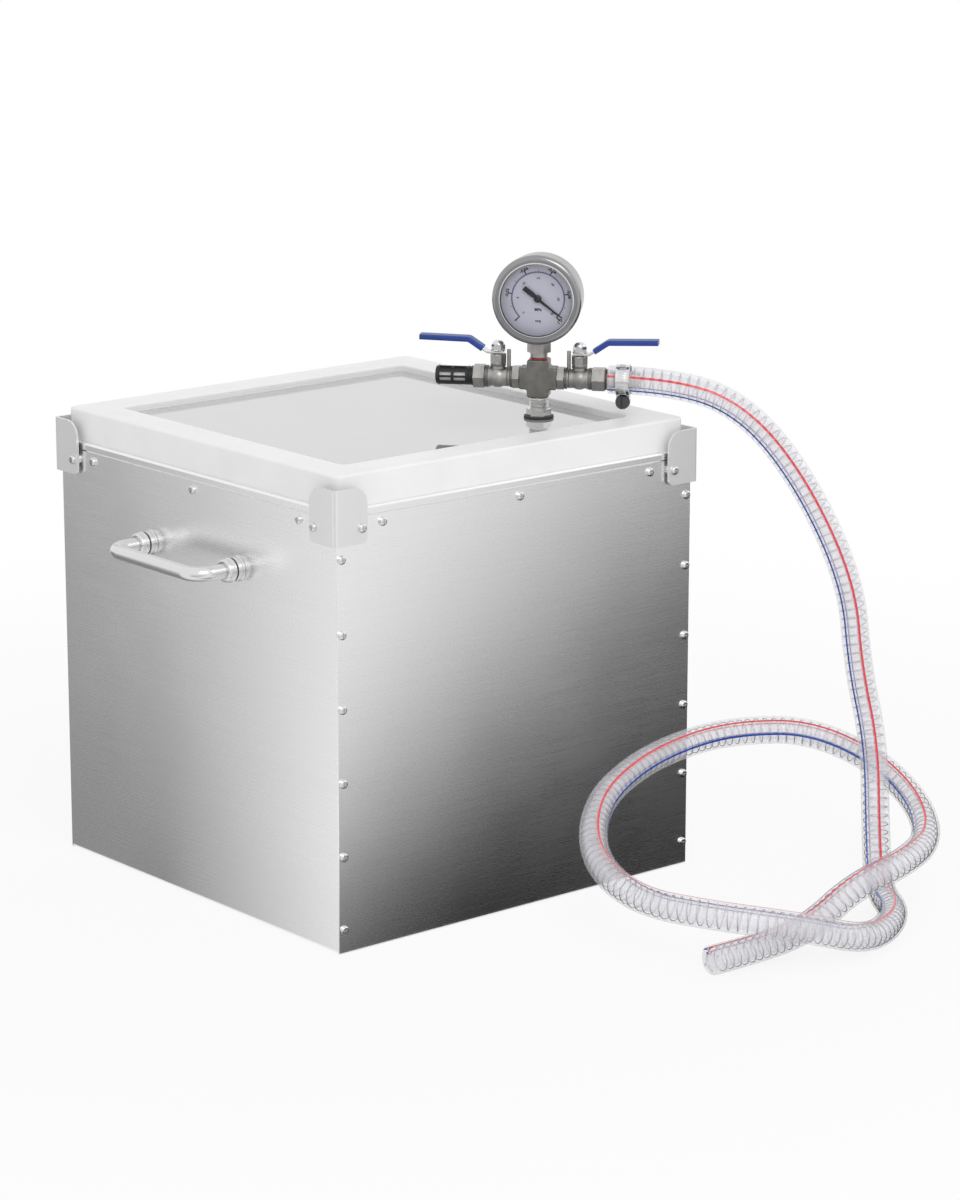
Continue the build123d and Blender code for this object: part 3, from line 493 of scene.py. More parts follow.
class Workpiece:
    """A mesh in the making; each method adds one closed form to it."""

    def __init__(self) -> None:
        """Start with nothing."""
        self.shape = bmesh.new()

    def absorb(self, form: bmesh.types.BMesh, place: Matrix) -> "Workpiece":
        """Merge a form's doubles, turn its faces outward, place it and add it.

        Args:
            form: the new closed form, about its own origin.
            place: where it goes in the frame.

        Returns:
            This workpiece.
        """
        bmesh.ops.remove_doubles(form, verts=form.verts, dist=1e-7)
        bmesh.ops.recalc_face_normals(form, faces=form.faces)
        bmesh.ops.transform(form, matrix=place, verts=form.verts)
        if place.determinant() < 0:
            bmesh.ops.reverse_faces(form, faces=form.faces)
        holder = bpy.data.meshes.new("holder")
        form.to_mesh(holder)
        form.free()
        self.shape.from_mesh(holder)
        bpy.data.meshes.remove(holder)
        return self

    def lathe(self, place: Matrix, outline: Outline, steps: int = 48) -> "Workpiece":
        """Spin a closed outline about the place's Z axis.

        Args:
            place: where the axis stands.
            outline: points of (radius, height) in metres.
            steps: faces round the axis.

        Returns:
            This workpiece.
        """
        form = bmesh.new()
        corners = [form.verts.new((r, 0.0, h)) for r, h in outline]
        sides = [form.edges.new((a, b)) for a, b in zip(corners, corners[1:] + corners[:1])]
        bmesh.ops.spin(
            form, geom=corners + sides, cent=(0, 0, 0), axis=(0, 0, 1), angle=tau, steps=steps, use_merge=True
        )
        return self.absorb(form, place)

    def rings(self, place: Matrix, rings: Iterable[Ring], steps: int = 48) -> "Workpiece":
        """Turn several rings about one axis."""
        for ring in rings:
            self.lathe(place, ring.outline(), steps)
        return self

    def sweep(
        self, place: Matrix, outline: Outline, angle: float, steps: int, climb: float = 0.0
    ) -> "Workpiece":
        """Carry a filled outline part of the way, or several times, round the place's Z axis.

        Args:
            place: where the axis stands; the outline starts on its X side.
            outline: points of (radius, height) in metres.
            angle: how far it goes round, in radians.
            steps: its steps on the way.
            climb: how far it rises in all.

        Returns:
            This workpiece.
        """
        form = bmesh.new()
        face = form.faces.new([form.verts.new((r, 0.0, h)) for r, h in outline])
        bmesh.ops.spin(
            form, geom=[face, *face.edges, *face.verts], cent=(0, 0, 0), axis=(0, 0, 1),
            dvec=(0, 0, climb / steps), angle=angle, steps=steps,
        )
        return self.absorb(form, place)

    def thread(self, place: Matrix, radius: float, pitch: float, depth: float, length: float) -> "Workpiece":
        """Wind a triangular ridge up the place's Z axis.

        Args:
            place: the foot of the thread.
            radius: to its root.
            pitch: rise per turn.
            depth: height of the ridge.
            length: how far it climbs.

        Returns:
            This workpiece.
        """
        outline = ((radius, 0.0), (radius + depth, pitch * 0.35), (radius, pitch * 0.7))
        turns, per_turn = length / pitch, 20
        return self.sweep(place, outline, turns * tau, max(4, round(turns * per_turn)), length)

    def slab(self, place: Matrix, size: Sequence[float], round_off: float = 0.0) -> "Workpiece":
        """A rectangular bar.

        Args:
            place: its middle.
            size: its three lengths.
            round_off: how much its edges are rounded.

        Returns:
            This workpiece.
        """
        form = bmesh.new()
        bmesh.ops.create_cube(form, size=1.0, matrix=Matrix.Diagonal((*size, 1.0)))
        if round_off:
            bmesh.ops.bevel(
                form, geom=form.edges[:], offset=round_off, segments=2, profile=0.5, affect="EDGES",
                material=-1,
            )
        return self.absorb(form, place)

    def crown(
        self, place: Matrix, count: int, spot: Sequence[float], size: Sequence[float], round_off: float
    ) -> "Workpiece":
        """Equal bars round the place's Z axis.

        Args:
            place: where the axis stands.
            count: how many bars.
            spot: the first bar's middle.
            size: a bar's three lengths.
            round_off: how much its edges are rounded.

        Returns:
            This workpiece.
        """
        for step in range(count):
            turn = Matrix.Rotation(tau * step / count, 4, "Z")
            self.slab(place @ turn @ Matrix.Translation(spot), size, round_off)
        return self

    def lettering(self, place: Matrix, words: str, size: float, thick: float) -> "Workpiece":
        """Raised print, centred on the place and facing its Z axis.

        Args:
            place: the middle of the print.
            words: a few characters.
            size: their height.
            thick: how thick the print is.

        Returns:
            This workpiece.
        """
        text = bpy.data.curves.new("print", "FONT")
        text.body, text.size, text.extrude = words, size, thick / 2
        text.align_x, text.align_y, text.resolution_u = "CENTER", "CENTER", 2
        text.offset = size * 0.035
        mesh = meshed(text)
        form = bmesh.new()
        form.from_mesh(mesh)
        bpy.data.meshes.remove(mesh)
        return self.absorb(form, place)

    def finish(
        self, name: str, body: str, slot: str, smooth: float = 35.0, kind: str = ""
    ) -> bpy.types.Object:
        """Turn the workpiece into an object of the scene.

        Args:
            name: the piece's name.
            body: the body it rides on, or an empty string for a piece that rides on no body.
            slot: the record's material slot, and the finish it gets.
            smooth: edges that turn by more degrees than this stay sharp.
            kind: a finish of its own within the slot.

        Returns:
            The object.
        """
        mesh = bpy.data.meshes.new(name)
        self.shape.to_mesh(mesh)
        self.shape.free()
        mesh.shade_smooth()
        mesh.set_sharp_from_angle(angle=radians(smooth))
        piece = bpy.data.objects.new(name, mesh)
        bpy.context.scene.collection.objects.link(piece)
        piece.data.materials.append(Dresser.material(kind or slot))
        if body:
            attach(piece, body)
        log.info("%s: %d faces on %s", name, len(mesh.polygons), body or "two bodies")
        return piece


class Dresser:
    """Keeps one material per finish and puts them on the CAD nodes."""

    made: dict[str, bpy.types.Material] = {}

    @classmethod
    def material(cls, slot: str) -> bpy.types.Material:
        """The material of a slot, made on first use."""
        if slot not in cls.made:
            cls.made[slot] = FINISHES[slot].make(slot)
        return cls.made[slot]

    @classmethod
    def dress(cls, nodes: Iterable[str], material: bpy.types.Material) -> None:
        """Put a material on CAD nodes.

        Args:
            nodes: their names.
            material: what they get.
        """
        for name in nodes:
            node = frame["nodes"][name]
            if not node.material_slots:
                node.data.materials.append(material)
            for place in node.material_slots:
                place.material = material

    @classmethod
    def dress_all(cls) -> None:
        """Give each CAD node the finish of its slot in the record."""
        for entry in frame["record"]["subparts"]:
            cls.dress([entry["node"]], cls.material(entry["material_slot"]))
            log.info("%s dressed in %s", entry["node"], entry["material_slot"])
        for kind, names in KINDS.items():
            cls.dress(names, cls.material(kind))


# ---------------- hose


@dataclass
class Hose:
    """The wire-wound hose from the barb to the floor and once round in a loose loop."""

    outside: float = 0.019
    inside: float = 0.013
    wire: float = 0.0007
    pitch: float = 0.0060
    around: int = 28
    route: tuple[tuple[float, float, float], ...] = (
        (0.11683, -0.10447, 0.333), (0.14898, -0.14145, 0.333), (0.179, -0.176, 0.314),
        (0.204, -0.205, 0.266), (0.224, -0.229, 0.200), (0.227, -0.234, 0.143),
        (0.229, -0.249, 0.092), (0.213, -0.268, 0.038), (0.185, -0.299, 0.0095),
        (0.160, -0.342, 0.0095), (0.109, -0.367, 0.0095), (0.056, -0.358, 0.028),
        (0.011, -0.326, 0.037), (-0.009, -0.274, 0.038), (0.002, -0.220, 0.050),
        (0.039, -0.181, 0.070), (0.088, -0.166, 0.084), (0.137, -0.163, 0.091),
        (0.180, -0.167, 0.092), (0.221, -0.192, 0.091), (0.246, -0.231, 0.075),
        (0.244, -0.275, 0.056), (0.216, -0.315, 0.044), (0.172, -0.336, 0.042),
        (0.126, -0.334, 0.034), (0.086, -0.334, 0.014), (0.042, -0.331, 0.0095),
        (0.006, -0.329, 0.0095),
    )

    def spine(self) -> list[Vector]:
        """Read the hose's middle line from the route's NURBS spline.

        Returns:
            Its points, from the barb to the free end.
        """
        line = bpy.data.curves.new("hose_line", "CURVE")
        line.dimensions = "3D"
        spline = line.splines.new("NURBS")
        spline.points.add(len(self.route) - 1)
        for point, place in zip(spline.points, self.route):
            point.co = (*place, 1.0)
        spline.order_u = 3
        spline.use_endpoint_u = True
        spline.resolution_u = 12
        mesh = meshed(line)
        points = [v.co.copy() for v in mesh.vertices]
        bpy.data.meshes.remove(mesh)
        return [p for n, p in enumerate(points) if n == 0 or (p - points[n - 1]).length > 1e-5]

    @staticmethod
    def carry(points: Sequence[Vector]) -> tuple[list[Matrix], list[float]]:
        """Carry one cross-section frame along a line without twist.

        Args:
            points: the line.

        Returns:
            A frame for each point, its Z along the line, and the length up to it.
        """
        heading = (points[1] - points[0]).normalized()
        side = heading.cross(Vector((0, 0, 1))).normalized()
        frames, lengths, run = [], [], 0.0
        for n, point in enumerate(points):
            ahead = points[min(n + 1, len(points) - 1)] - points[max(n - 1, 0)]
            new = ahead.normalized()
            side = heading.rotation_difference(new) @ side
            side = (side - new * side.dot(new)).normalized()
            heading = new
            run += (point - points[n - 1]).length if n else 0.0
            turn = Matrix((side, heading.cross(side), heading)).transposed().to_4x4()
            frames.append(Matrix.Translation(point) @ turn)
            lengths.append(run)
        return frames, lengths

    def wall(self, frames: Sequence[Matrix], lengths: Sequence[float]) -> bpy.types.Object:
        """Sweep the wall's ring along the line and chart it for the finish.

        Args:
            frames: cross-section frames.
            lengths: length up to each frame.

        Returns:
            The tube as an object, not yet on a body.
        """
        work = Workpiece()
        shape = work.shape
        rings: list[list[bmesh.types.BMEdge]] = []
        spot: dict[bmesh.types.BMVert, int] = {}
        for radius in (self.outside / 2, self.inside / 2):
            made = bmesh.ops.create_circle(shape, segments=self.around, radius=radius, matrix=frames[0])
            spot.update((v, 0) for v in made["verts"])
            rings.append(list({e for v in made["verts"] for e in v.link_edges}))
        first = rings[0] + rings[1]
        front = first
        for n in range(1, len(frames)):
            grown = bmesh.ops.extrude_edge_only(shape, edges=front)["geom"]
            verts = [g for g in grown if isinstance(g, bmesh.types.BMVert)]
            front = [g for g in grown if isinstance(g, bmesh.types.BMEdge)]
            front = [e for e in front if all(v in set(verts) for v in e.verts)]
            bmesh.ops.transform(shape, matrix=frames[n] @ frames[n - 1].inverted(), verts=verts)
            spot.update((v, n) for v in verts)
        for rim in (first, front):
            bmesh.ops.bridge_loops(shape, edges=rim)
        bmesh.ops.recalc_face_normals(shape, faces=shape.faces)
        chart = shape.loops.layers.uv.new("UVMap")
        home = [f.inverted() for f in frames]
        for face in shape.faces:
            angles = []
            for loop in face.loops:
                local = home[spot[loop.vert]] @ loop.vert.co
                angles.append(atan2(local.y, local.x) / tau % 1.0)
            high = max(angles)
            for loop, angle in zip(face.loops, angles):
                if high - angle > 0.5:
                    angle += 1.0
                loop[chart].uv = (angle, lengths[spot[loop.vert]] / self.pitch)
        return work.finish("hose_wall", "", "clear_pvc", 60.0)

    def winding(self, frames: Sequence[Matrix], lengths: Sequence[float]) -> bpy.types.Object:
        """Wind the spring wire inside the wall, as a helix about the same line.

        Args:
            frames: cross-section frames.
            lengths: length up to each frame.

        Returns:
            The wire as an object, not yet on a body.
        """
        per_turn, radius = 14, (self.outside + self.inside) / 4
        count = int((lengths[-1] - 2 * self.wire) / self.pitch * per_turn)
        curve = bpy.data.curves.new("hose_wire_line", "CURVE")
        curve.dimensions, curve.bevel_depth, curve.bevel_resolution = "3D", self.wire / 2, 1
        curve.use_fill_caps = True
        spline = curve.splines.new("POLY")
        spline.points.add(count - 1)
        n = 0
        for k in range(count):
            run = self.wire + k * self.pitch / per_turn
            while n < len(lengths) - 2 and lengths[n + 1] < run:
                n += 1
            share = (run - lengths[n]) / (lengths[n + 1] - lengths[n])
            angle = tau * k / per_turn
            local = Vector((radius * cos(angle), radius * sin(angle), 0.0))
            spline.points[k].co = (*(frames[n] @ local).lerp(frames[n + 1] @ local, share), 1.0)
        work = Workpiece()
        mesh = meshed(curve)
        work.shape.from_mesh(mesh)
        bpy.data.meshes.remove(mesh)
        bmesh.ops.remove_doubles(work.shape, verts=work.shape.verts, dist=1e-7)
        bmesh.ops.recalc_face_normals(work.shape, faces=work.shape.faces)
        return work.finish("hose_wire", "", "bright_stainless", 80.0, "spring_wire")

    def build(self) -> None:
        """Make the wall and the wire, and let them hang between the lid and the floor."""
        points = self.spine()
        frames, lengths = self.carry(points)
        wall = self.wall(frames, lengths)
        wire = self.winding(frames, lengths)
        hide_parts("hose")
        for piece in (wall, wire):
            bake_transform(piece)
            piece.visible_glossy = False
        log.info("hose line %.4f m in %d points", lengths[-1], len(points))


# ---------------- pipe work


class Rig:
    """Axes of the pipe work, read from the levers' hinges: along the run, back from the dial, up."""

    def __init__(self) -> None:
        """Find the middle of the cross between the two hinges."""
        hinge = {j["name"]: Vector(j["pos_m"]) for j in frame["joints"] if "pos_m" in j}
        vent, hose = hinge["vent_lever_turn"], hinge["hose_lever_turn"]
        self.middle = (vent + hose) / 2
        self.along = (hose - vent).normalized()
        self.up = Vector((0, 0, 1))
        self.back = self.up.cross(self.along)
        self.stem_at = round((hose - vent).length / 2 / MM, 2)
        self.dial = hinge["pointer_turn"]

    def facing(self, axis: Vector, side: Vector, place: Vector) -> Matrix:
        """A frame at a place, with its Z along an axis and its X along a side."""
        turn = Matrix((side, axis.cross(side), axis)).transposed().to_4x4()
        return Matrix.Translation(place) @ turn

    def outward(self, side: int, along: float = 0.0) -> Matrix:
        """A frame on the run that faces away from the cross, so many millimetres along it."""
        return self.facing(self.along * side, self.up, self.middle + self.along * side * along * MM)

    def level(self, along: float, up: float = 0.0) -> Matrix:
        """A frame that faces up, at a place in millimetres."""
        return self.facing(self.up, self.along, self.middle + (self.along * along + self.up * up) * MM)

    def height(self, node: str, corner: int) -> float:
        """The foot (0) or top (1) of a CAD node, in millimetres above the run."""
        return (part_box(node)[corner].z - self.middle.z) / MM

    def dialward(self, across: float = 0.0) -> Matrix:
        """A frame on the dial's middle that faces as the dial does, so many millimetres in front of it."""
        return self.facing(-self.back, self.along, self.dial - self.back * across * MM)


@dataclass
class PipeWork:
    """Turned and threaded detail of the valves, the fitting, the silencer and the clamp, in millimetres."""

    rig: Rig
    sides: tuple[tuple[str, int], ...] = (("vent", -1), ("hose", 1))
    cross_half: float = 12.8
    valve_end: float = 36.3
    barrel_lands: tuple[Ring, ...] = (
        Ring(5.9, 7.2, 17.6, 19.2, 0.3), Ring(5.9, 6.85, 20.4, 21.0, 0.3), Ring(5.9, 7.4, 33.6, 36.2, 0.3),
    )
    neck_land: Ring = Ring(4.2, 5.3, 7.4, 8.6, 0.3)
    gland_rings: tuple[Ring, ...] = (Ring(2.2, 4.75, 9.2, 9.9, 0.25), Ring(2.2, 4.75, 14.4, 15.5, 0.3))
    nut_dome: Outline = (
        (0.0, -1.8), (3.9, -1.8), (4.1, -1.2), (3.7, -0.1), (2.7, 0.8), (1.4, 1.3), (0.0, 1.5),
    )
    hexagon: float = 4.8
    thread_root: float = 6.05
    thread_pitch: float = 1.2
    thread_depth: float = 0.5
    silencer_at: float = 43.7
    silencer_lands: tuple[Ring, ...] = (
        Ring(5.5, 6.65, 0.2, 1.6, 0.25), Ring(5.5, 6.65, 3.0, 3.7, 0.25), Ring(5.5, 6.65, 23.1, 23.9, 0.25),
    )
    barb_lands: tuple[Ring, ...] = (Ring(4.4, 7.35, 44.7, 45.5, 0.25), Ring(4.4, 7.0, 45.8, 46.7, 0.3))
    clamp_at: float = 57.0
    clamp_edges: tuple[Ring, ...] = (Ring(9.7, 10.65, -4.6, -3.9, 0.15), Ring(9.7, 10.65, 3.9, 4.6, 0.15))
    worm_slots: int = 34
    worm_at: float = 10.3
    knurls: int = 18
    knob_washer: Ring = Ring(3.0, 4.9, 2.3, 3.2, 0.25)

    def valve_beads(self) -> None:
        """Raised lands on both barrels and a packing ring round each neck."""
        for name, side in self.sides:
            work = Workpiece().rings(self.rig.outward(side), self.barrel_lands)
            work.rings(self.rig.level(side * self.rig.stem_at), [self.neck_land])
            work.finish(f"{name}_valve_beads", "lid", "cast_stainless")

    def gland_collars(self) -> None:
        """Two turned collars round each packing nut."""
        for name, side in self.sides:
            work = Workpiece().rings(self.rig.level(side * self.rig.stem_at), self.gland_rings)
            work.finish(f"{name}_gland_collars", "lid", "bright_stainless")

    def nut_domes(self) -> None:
        """A flange and a domed cap on each lever's nut, which turn with the lever."""
        for name, side in self.sides:
            spot = self.rig.level(side * self.rig.stem_at)
            low, top = (self.rig.height(f"{name}_lever_nut", corner) for corner in (0, 1))
            work = Workpiece().rings(spot, [Ring(2.2, 5.0, low, low + 0.9, 0.25)])
            work.lathe(spot, metres([(r, top + h) for r, h in self.nut_dome]))
            work.finish(f"{name}_nut_dome", f"{name}_lever", "bright_stainless")

    def fitting_thread(self) -> None:
        """The lid fitting's thread between its hexagon and the cross, with a collar at each end."""
        foot = self.rig.height("seal_washer_top", 1) + self.hexagon
        sizes = (self.thread_root, self.thread_pitch, self.thread_depth, -self.cross_half - foot - 1.6)
        work = Workpiece().thread(self.rig.level(0, foot), *(size * MM for size in sizes))
        collars = (
            Ring(5.6, 7.0, -self.cross_half - 1.5, -self.cross_half - 0.1, 0.35),
            Ring(5.6, 7.3, foot - 1.1, foot - 0.1, 0.3),
        )
        work.rings(self.rig.level(0), collars)
        work.finish("fitting_thread", "lid", "bright_stainless")

    def joint_shadows(self) -> None:
        """A dark ring in the seam at each end of the cross and at each valve's outer end."""
        work = Workpiece()
        seams = (
            Ring(4.6, 7.25, self.cross_half - 0.55, self.cross_half + 0.15, 0.2),
            Ring(4.6, 7.2, self.valve_end - 0.2, self.valve_end + 0.5, 0.2),
        )
        for _, side in self.sides:
            work.rings(self.rig.outward(side), seams)
        work.finish("joint_shadows", "lid", "dark_steel")

    def silencer_ribs(self) -> None:
        """Moulded ribs at both ends of the silencer."""
        work = Workpiece().rings(self.rig.outward(-1, self.silencer_at), self.silencer_lands)
        work.finish("silencer_ribs", "lid", "black_plastic")

    def barb_collar(self) -> None:
        """Turned lands on the hose barb between its hexagon and the hose."""
        Workpiece().rings(self.rig.outward(1), self.barb_lands).finish("barb_collar", "lid", "cast_stainless")

    def clamp_band(self) -> None:
        """Rolled edges and worm slots of the hose clamp."""
        out = self.rig.outward(1, self.clamp_at)
        work = Workpiece().rings(out, self.clamp_edges, 56)
        work.crown(out, self.worm_slots, (self.worm_at * MM, 0, 0), (0.0005, 0.0009, 0.0050), 0.0001)
        work.finish("clamp_band_worm", "lid", "bright_stainless")

    def clamp_knob(self) -> None:
        """Knurled collar and washer round the clamp's screw head."""
        low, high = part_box("clamp_screw")
        head = self.rig.facing(-self.rig.back, self.rig.up, (low + high) / 2)
        work = Workpiece().crown(head, self.knurls, (0.0042, 0, 0.0052), (0.0007, 0.0006, 0.0032), 0.0001)
        work.rings(head, [self.knob_washer])
        work.finish("clamp_knob", "lid", "dark_steel")

    def build(self) -> None:
        """Make every piece of the pipe work's detail."""
        for make in (
            self.valve_beads, self.gland_collars, self.nut_domes, self.fitting_thread, self.joint_shadows,
            self.silencer_ribs, self.barb_collar, self.clamp_band, self.clamp_knob,
        ):
            make()


@dataclass
class Gauge:
    """Print on the dial, the rings of the case and the pointer's blade, in millimetres."""

    rig: Rig
    sweep: float = 270.0
    ink: float = 0.05
    arc: float = 17.6
    arc_half: float = 0.45
    numbers: tuple[str, ...] = ("0", "-0.02", "-0.04", "-0.06", "-0.08", "-0.1")
    inner_numbers: tuple[str, ...] = ("0", "-5", "-10", "-15", "-20", "-25", "-30")
    numbers_at: tuple[float, float] = (20.9, 2.9)
    inner_numbers_at: tuple[float, float] = (13.6, 2.1)
    units: tuple[tuple[str, float, float], ...] = (("MPa", 7.6, 2.8), ("inHg", 15.2, 2.0))
    minor: int = 10
    long_tick: tuple[float, float] = (3.4, 0.8)
    middle_tick: tuple[float, float] = (2.2, 0.3)
    short_tick: tuple[float, float] = (1.2, 0.3)
    tick_inset: float = 0.4
    # a black ring inside the bezel: painted shadow that the bezel casts on the dial
    shade_ring: Ring = Ring(23.9, 24.9, 7.1, 7.9, 0.2)
    beads: tuple[Ring, ...] = (
        Ring(24.3, 25.2, 7.6, 9.3, 0.35), Ring(28.0, 29.95, 1.6, 2.7, 0.4), Ring(27.6, 29.2, -1.2, -0.2, 0.4),
    )
    back_plate: Ring = Ring(20.0, 22.0, -18.7, -18.1, 0.2)
    plug: Outline = (
        (0.0, -17.8), (7.6, -17.8), (7.6, -18.9), (6.8, -19.6), (3.2, -19.6), (2.6, -19.2), (0.0, -19.2),
    )
    hub: Outline = ((0.0, 2.0), (2.3, 2.0), (2.3, 2.5), (1.5, 2.9), (1.5, 3.3), (0.0, 3.5))
    blade: Outline = ((-9.6, 1.35), (-2.0, 1.15), (2.0, 0.95), (17.6, 0.35))
    blade_foot: float = 2.05
    blade_thick: float = 0.35

    def at(self, degrees: float, radius: float) -> Matrix:
        """A place just over the dial: degrees clockwise from the top, its Y pointing outward."""
        turn = Matrix.Rotation(-radians(degrees), 4, "Z")
        return self.rig.dialward(0.02) @ turn @ Matrix.Translation((0, radius * MM, 0))

    def tick(self, number: int) -> tuple[float, float]:
        """A tick's length and width: long at each number, middling half-way, short between."""
        if number % self.minor == 0:
            return self.long_tick
        return self.middle_tick if number % (self.minor // 2) == 0 else self.short_tick

    def scale(self) -> None:
        """The violet arc, and ticks across it."""
        low, high = self.arc - self.arc_half, self.arc + self.arc_half
        section = metres([(low, 0.0), (high, 0.0), (high, self.ink), (low, self.ink)])
        start = Matrix.Rotation(radians(90.0 - self.sweep / 2), 4, "Z")
        work = Workpiece().sweep(self.rig.dialward(0.01) @ start, section, radians(self.sweep), 90)
        work.finish("dial_arc", "lid", "pointer_black", 35.0, "violet_print")
        ticks = Workpiece()
        count = (len(self.numbers) - 1) * self.minor
        for number in range(count + 1):
            long, width = self.tick(number)
            spot = self.at(self.sweep * (number / count - 0.5), self.arc + long / 2 - self.tick_inset)
            ticks.slab(spot, (width * MM, long * MM, self.ink * MM))
        ticks.finish("dial_ticks", "lid", "pointer_black")

    def print(self) -> None:
        """Numbers outside and inside the arc, and the units on the dial's lower half."""
        work = Workpiece()
        rows = ((self.numbers, self.numbers_at), (self.inner_numbers, self.inner_numbers_at))
        for row, (radius, size) in rows:
            for n, words in enumerate(row):
                spot = self.at(self.sweep * (n / (len(row) - 1) - 0.5), radius)
                work.lettering(spot, words, size * MM, self.ink * MM)
        for words, radius, size in self.units:
            spot = self.at(180, radius) @ Matrix.Rotation(pi, 4, "Z")
            work.lettering(spot, words, size * MM, self.ink * MM)
        work.finish("dial_print", "lid", "pointer_black")

    def case_rings(self) -> None:
        """A black ring inside the bezel, which is painted shadow of the bezel on the dial, beads outside it, and a
        plate and a plug on the case's back.
        """
        middle = self.rig.dialward()
        # the black ring inside the bezel is painted shadow
        Workpiece().rings(middle, [self.shade_ring], 72).finish("bezel_shade_ring", "lid", "black_rubber")
        beads = Workpiece().rings(middle, self.beads, 72).rings(middle, [self.back_plate], 64)
        beads.finish("gauge_beads", "lid", "bright_stainless")
        Workpiece().lathe(middle, metres(self.plug)).finish("relief_plug", "lid", "black_rubber")

    def pointer(self) -> None:
        """The pointer's hub and blade, turning with it; the blade lies along the CAD pointer's far end."""
        work = Workpiece().lathe(self.rig.dialward(), metres(self.hub), 32)
        arms = (v.co - self.rig.dial for v in frame["nodes"]["gauge_pointer"].data.vertices)
        tip = max(arms, key=lambda arm: arm.length)
        tip = (tip - self.rig.back * tip.dot(self.rig.back)).normalized()
        form = bmesh.new()
        plan = (*self.blade, *((x, -y) for x, y in reversed(self.blade)))
        face = form.faces.new([form.verts.new((x * MM, y * MM, self.blade_foot * MM)) for x, y in plan])
        lift = bmesh.ops.extrude_face_region(form, geom=[face])["geom"]
        top = [v for v in lift if isinstance(v, bmesh.types.BMVert)]
        bmesh.ops.translate(form, verts=top, vec=(0, 0, self.blade_thick * MM))
        work.absorb(form, self.rig.facing(-self.rig.back, tip, self.rig.dial))
        work.finish("pointer_blade", "pointer", "pointer_black")

    def build(self) -> None:
        """Make the print, the rings and the pointer's blade."""
        for make in (self.scale, self.print, self.case_rings, self.pointer):
            make()


@dataclass
class Casing:
    """Turned rings on the ferrules that carry the handles, in millimetres."""

    inset: float = 7.5
    lands: tuple[Ring, ...] = (Ring(4.8, 8.4, 0.05, 1.5, 0.4), Ring(4.8, 8.0, 6.4, 8.4, 0.45))
    # a black ring in each ferrule's groove: painted shade
    groove_shade: Ring = Ring(4.8, 7.62, 4.9, 6.0, 0.05)

    def build(self) -> None:
        """Two lands and a black ring in the groove, which is painted shade, on each of the four ferrules."""
        low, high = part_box("handle_ferrules")
        z = (low.z + high.z) / 2
        steel, dark = Workpiece(), Workpiece()
        for side, wall in zip((-1, 1), (corner.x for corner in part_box("outer_wrap"))):
            for y in (low.y + self.inset * MM, high.y - self.inset * MM):
                foot = Matrix.Translation((wall, y, z)) @ Matrix.Rotation(side * pi / 2, 4, "Y")
                steel.rings(foot, self.lands)
                # the black ring in the groove is painted shade
                dark.rings(foot, [self.groove_shade])
        steel.finish("ferrule_rings", "root", "bright_stainless")
        dark.finish("ferrule_groove_shade", "root", "black_rubber")


# ---------------- studio


class Past(Enum):
    """The axis on whose negative side a card turns greyer."""

    X = 0
    Y = 1


def laid(name: str, shape: bmesh.types.BMesh, material: bpy.types.Material) -> bpy.types.Object:
    """Turn a shape into an object of the studio.

    Args:
        name: the object's name.
        shape: its mesh in the making, which this frees.
        material: what it is made of.

    Returns:
        The object.
    """
    mesh = bpy.data.meshes.new(name)
    shape.to_mesh(mesh)
    shape.free()
    mesh.materials.append(material)
    piece = bpy.data.objects.new(name, mesh)
    bpy.context.scene.collection.objects.link(piece)
    return piece


@dataclass(frozen=True)
class Card:
    """A graded card by the floor that only glossy surfaces see.

    Its tone climbs per metre along x and y from a start, to a power, over its darkest tone. Past the
    casing's corner, where only the views from the other sides look, it turns greyer.
    """

    name: str
    corners: Outline
    dark: float
    climb: tuple[float, float]
    start: float
    power: float = 1.0
    past: Past = Past.X
    height: float = 0.0004
    grey: float = 0.45
    grey_from: float = 0.25
    grey_to: float = 0.80

    def finish(self) -> bpy.types.Material:
        """The card's glow, as a material."""
        shader = Shader(self.name)
        spot = shader.split(shader.place())
        climb = spot[0] * self.climb[0] + spot[1] * self.climb[1] + self.start
        tone = (climb.at_least(0.0) ** self.power + self.dark).at_most(1.0)
        past = (0.0 - spot[self.past.value]).ramp(self.grey_from, self.grey_to)
        inputs = {"Color": (1, 1, 1, 1), "Strength": tone * (1.0 - past * self.grey)}
        return shader.end(shader.node("ShaderNodeEmission", {}, inputs))

    def build(self) -> None:
        """Lay the card down and hide it from all but glossy rays."""
        shape = bmesh.new()
        shape.faces.new([shape.verts.new((*corner, self.height)) for corner in self.corners])
        bmesh.ops.recalc_face_normals(shape, faces=shape.faces)
        card = laid(self.name, shape, self.finish())
        card.visible_camera = card.visible_diffuse = card.visible_shadow = False
        card.visible_transmission = False


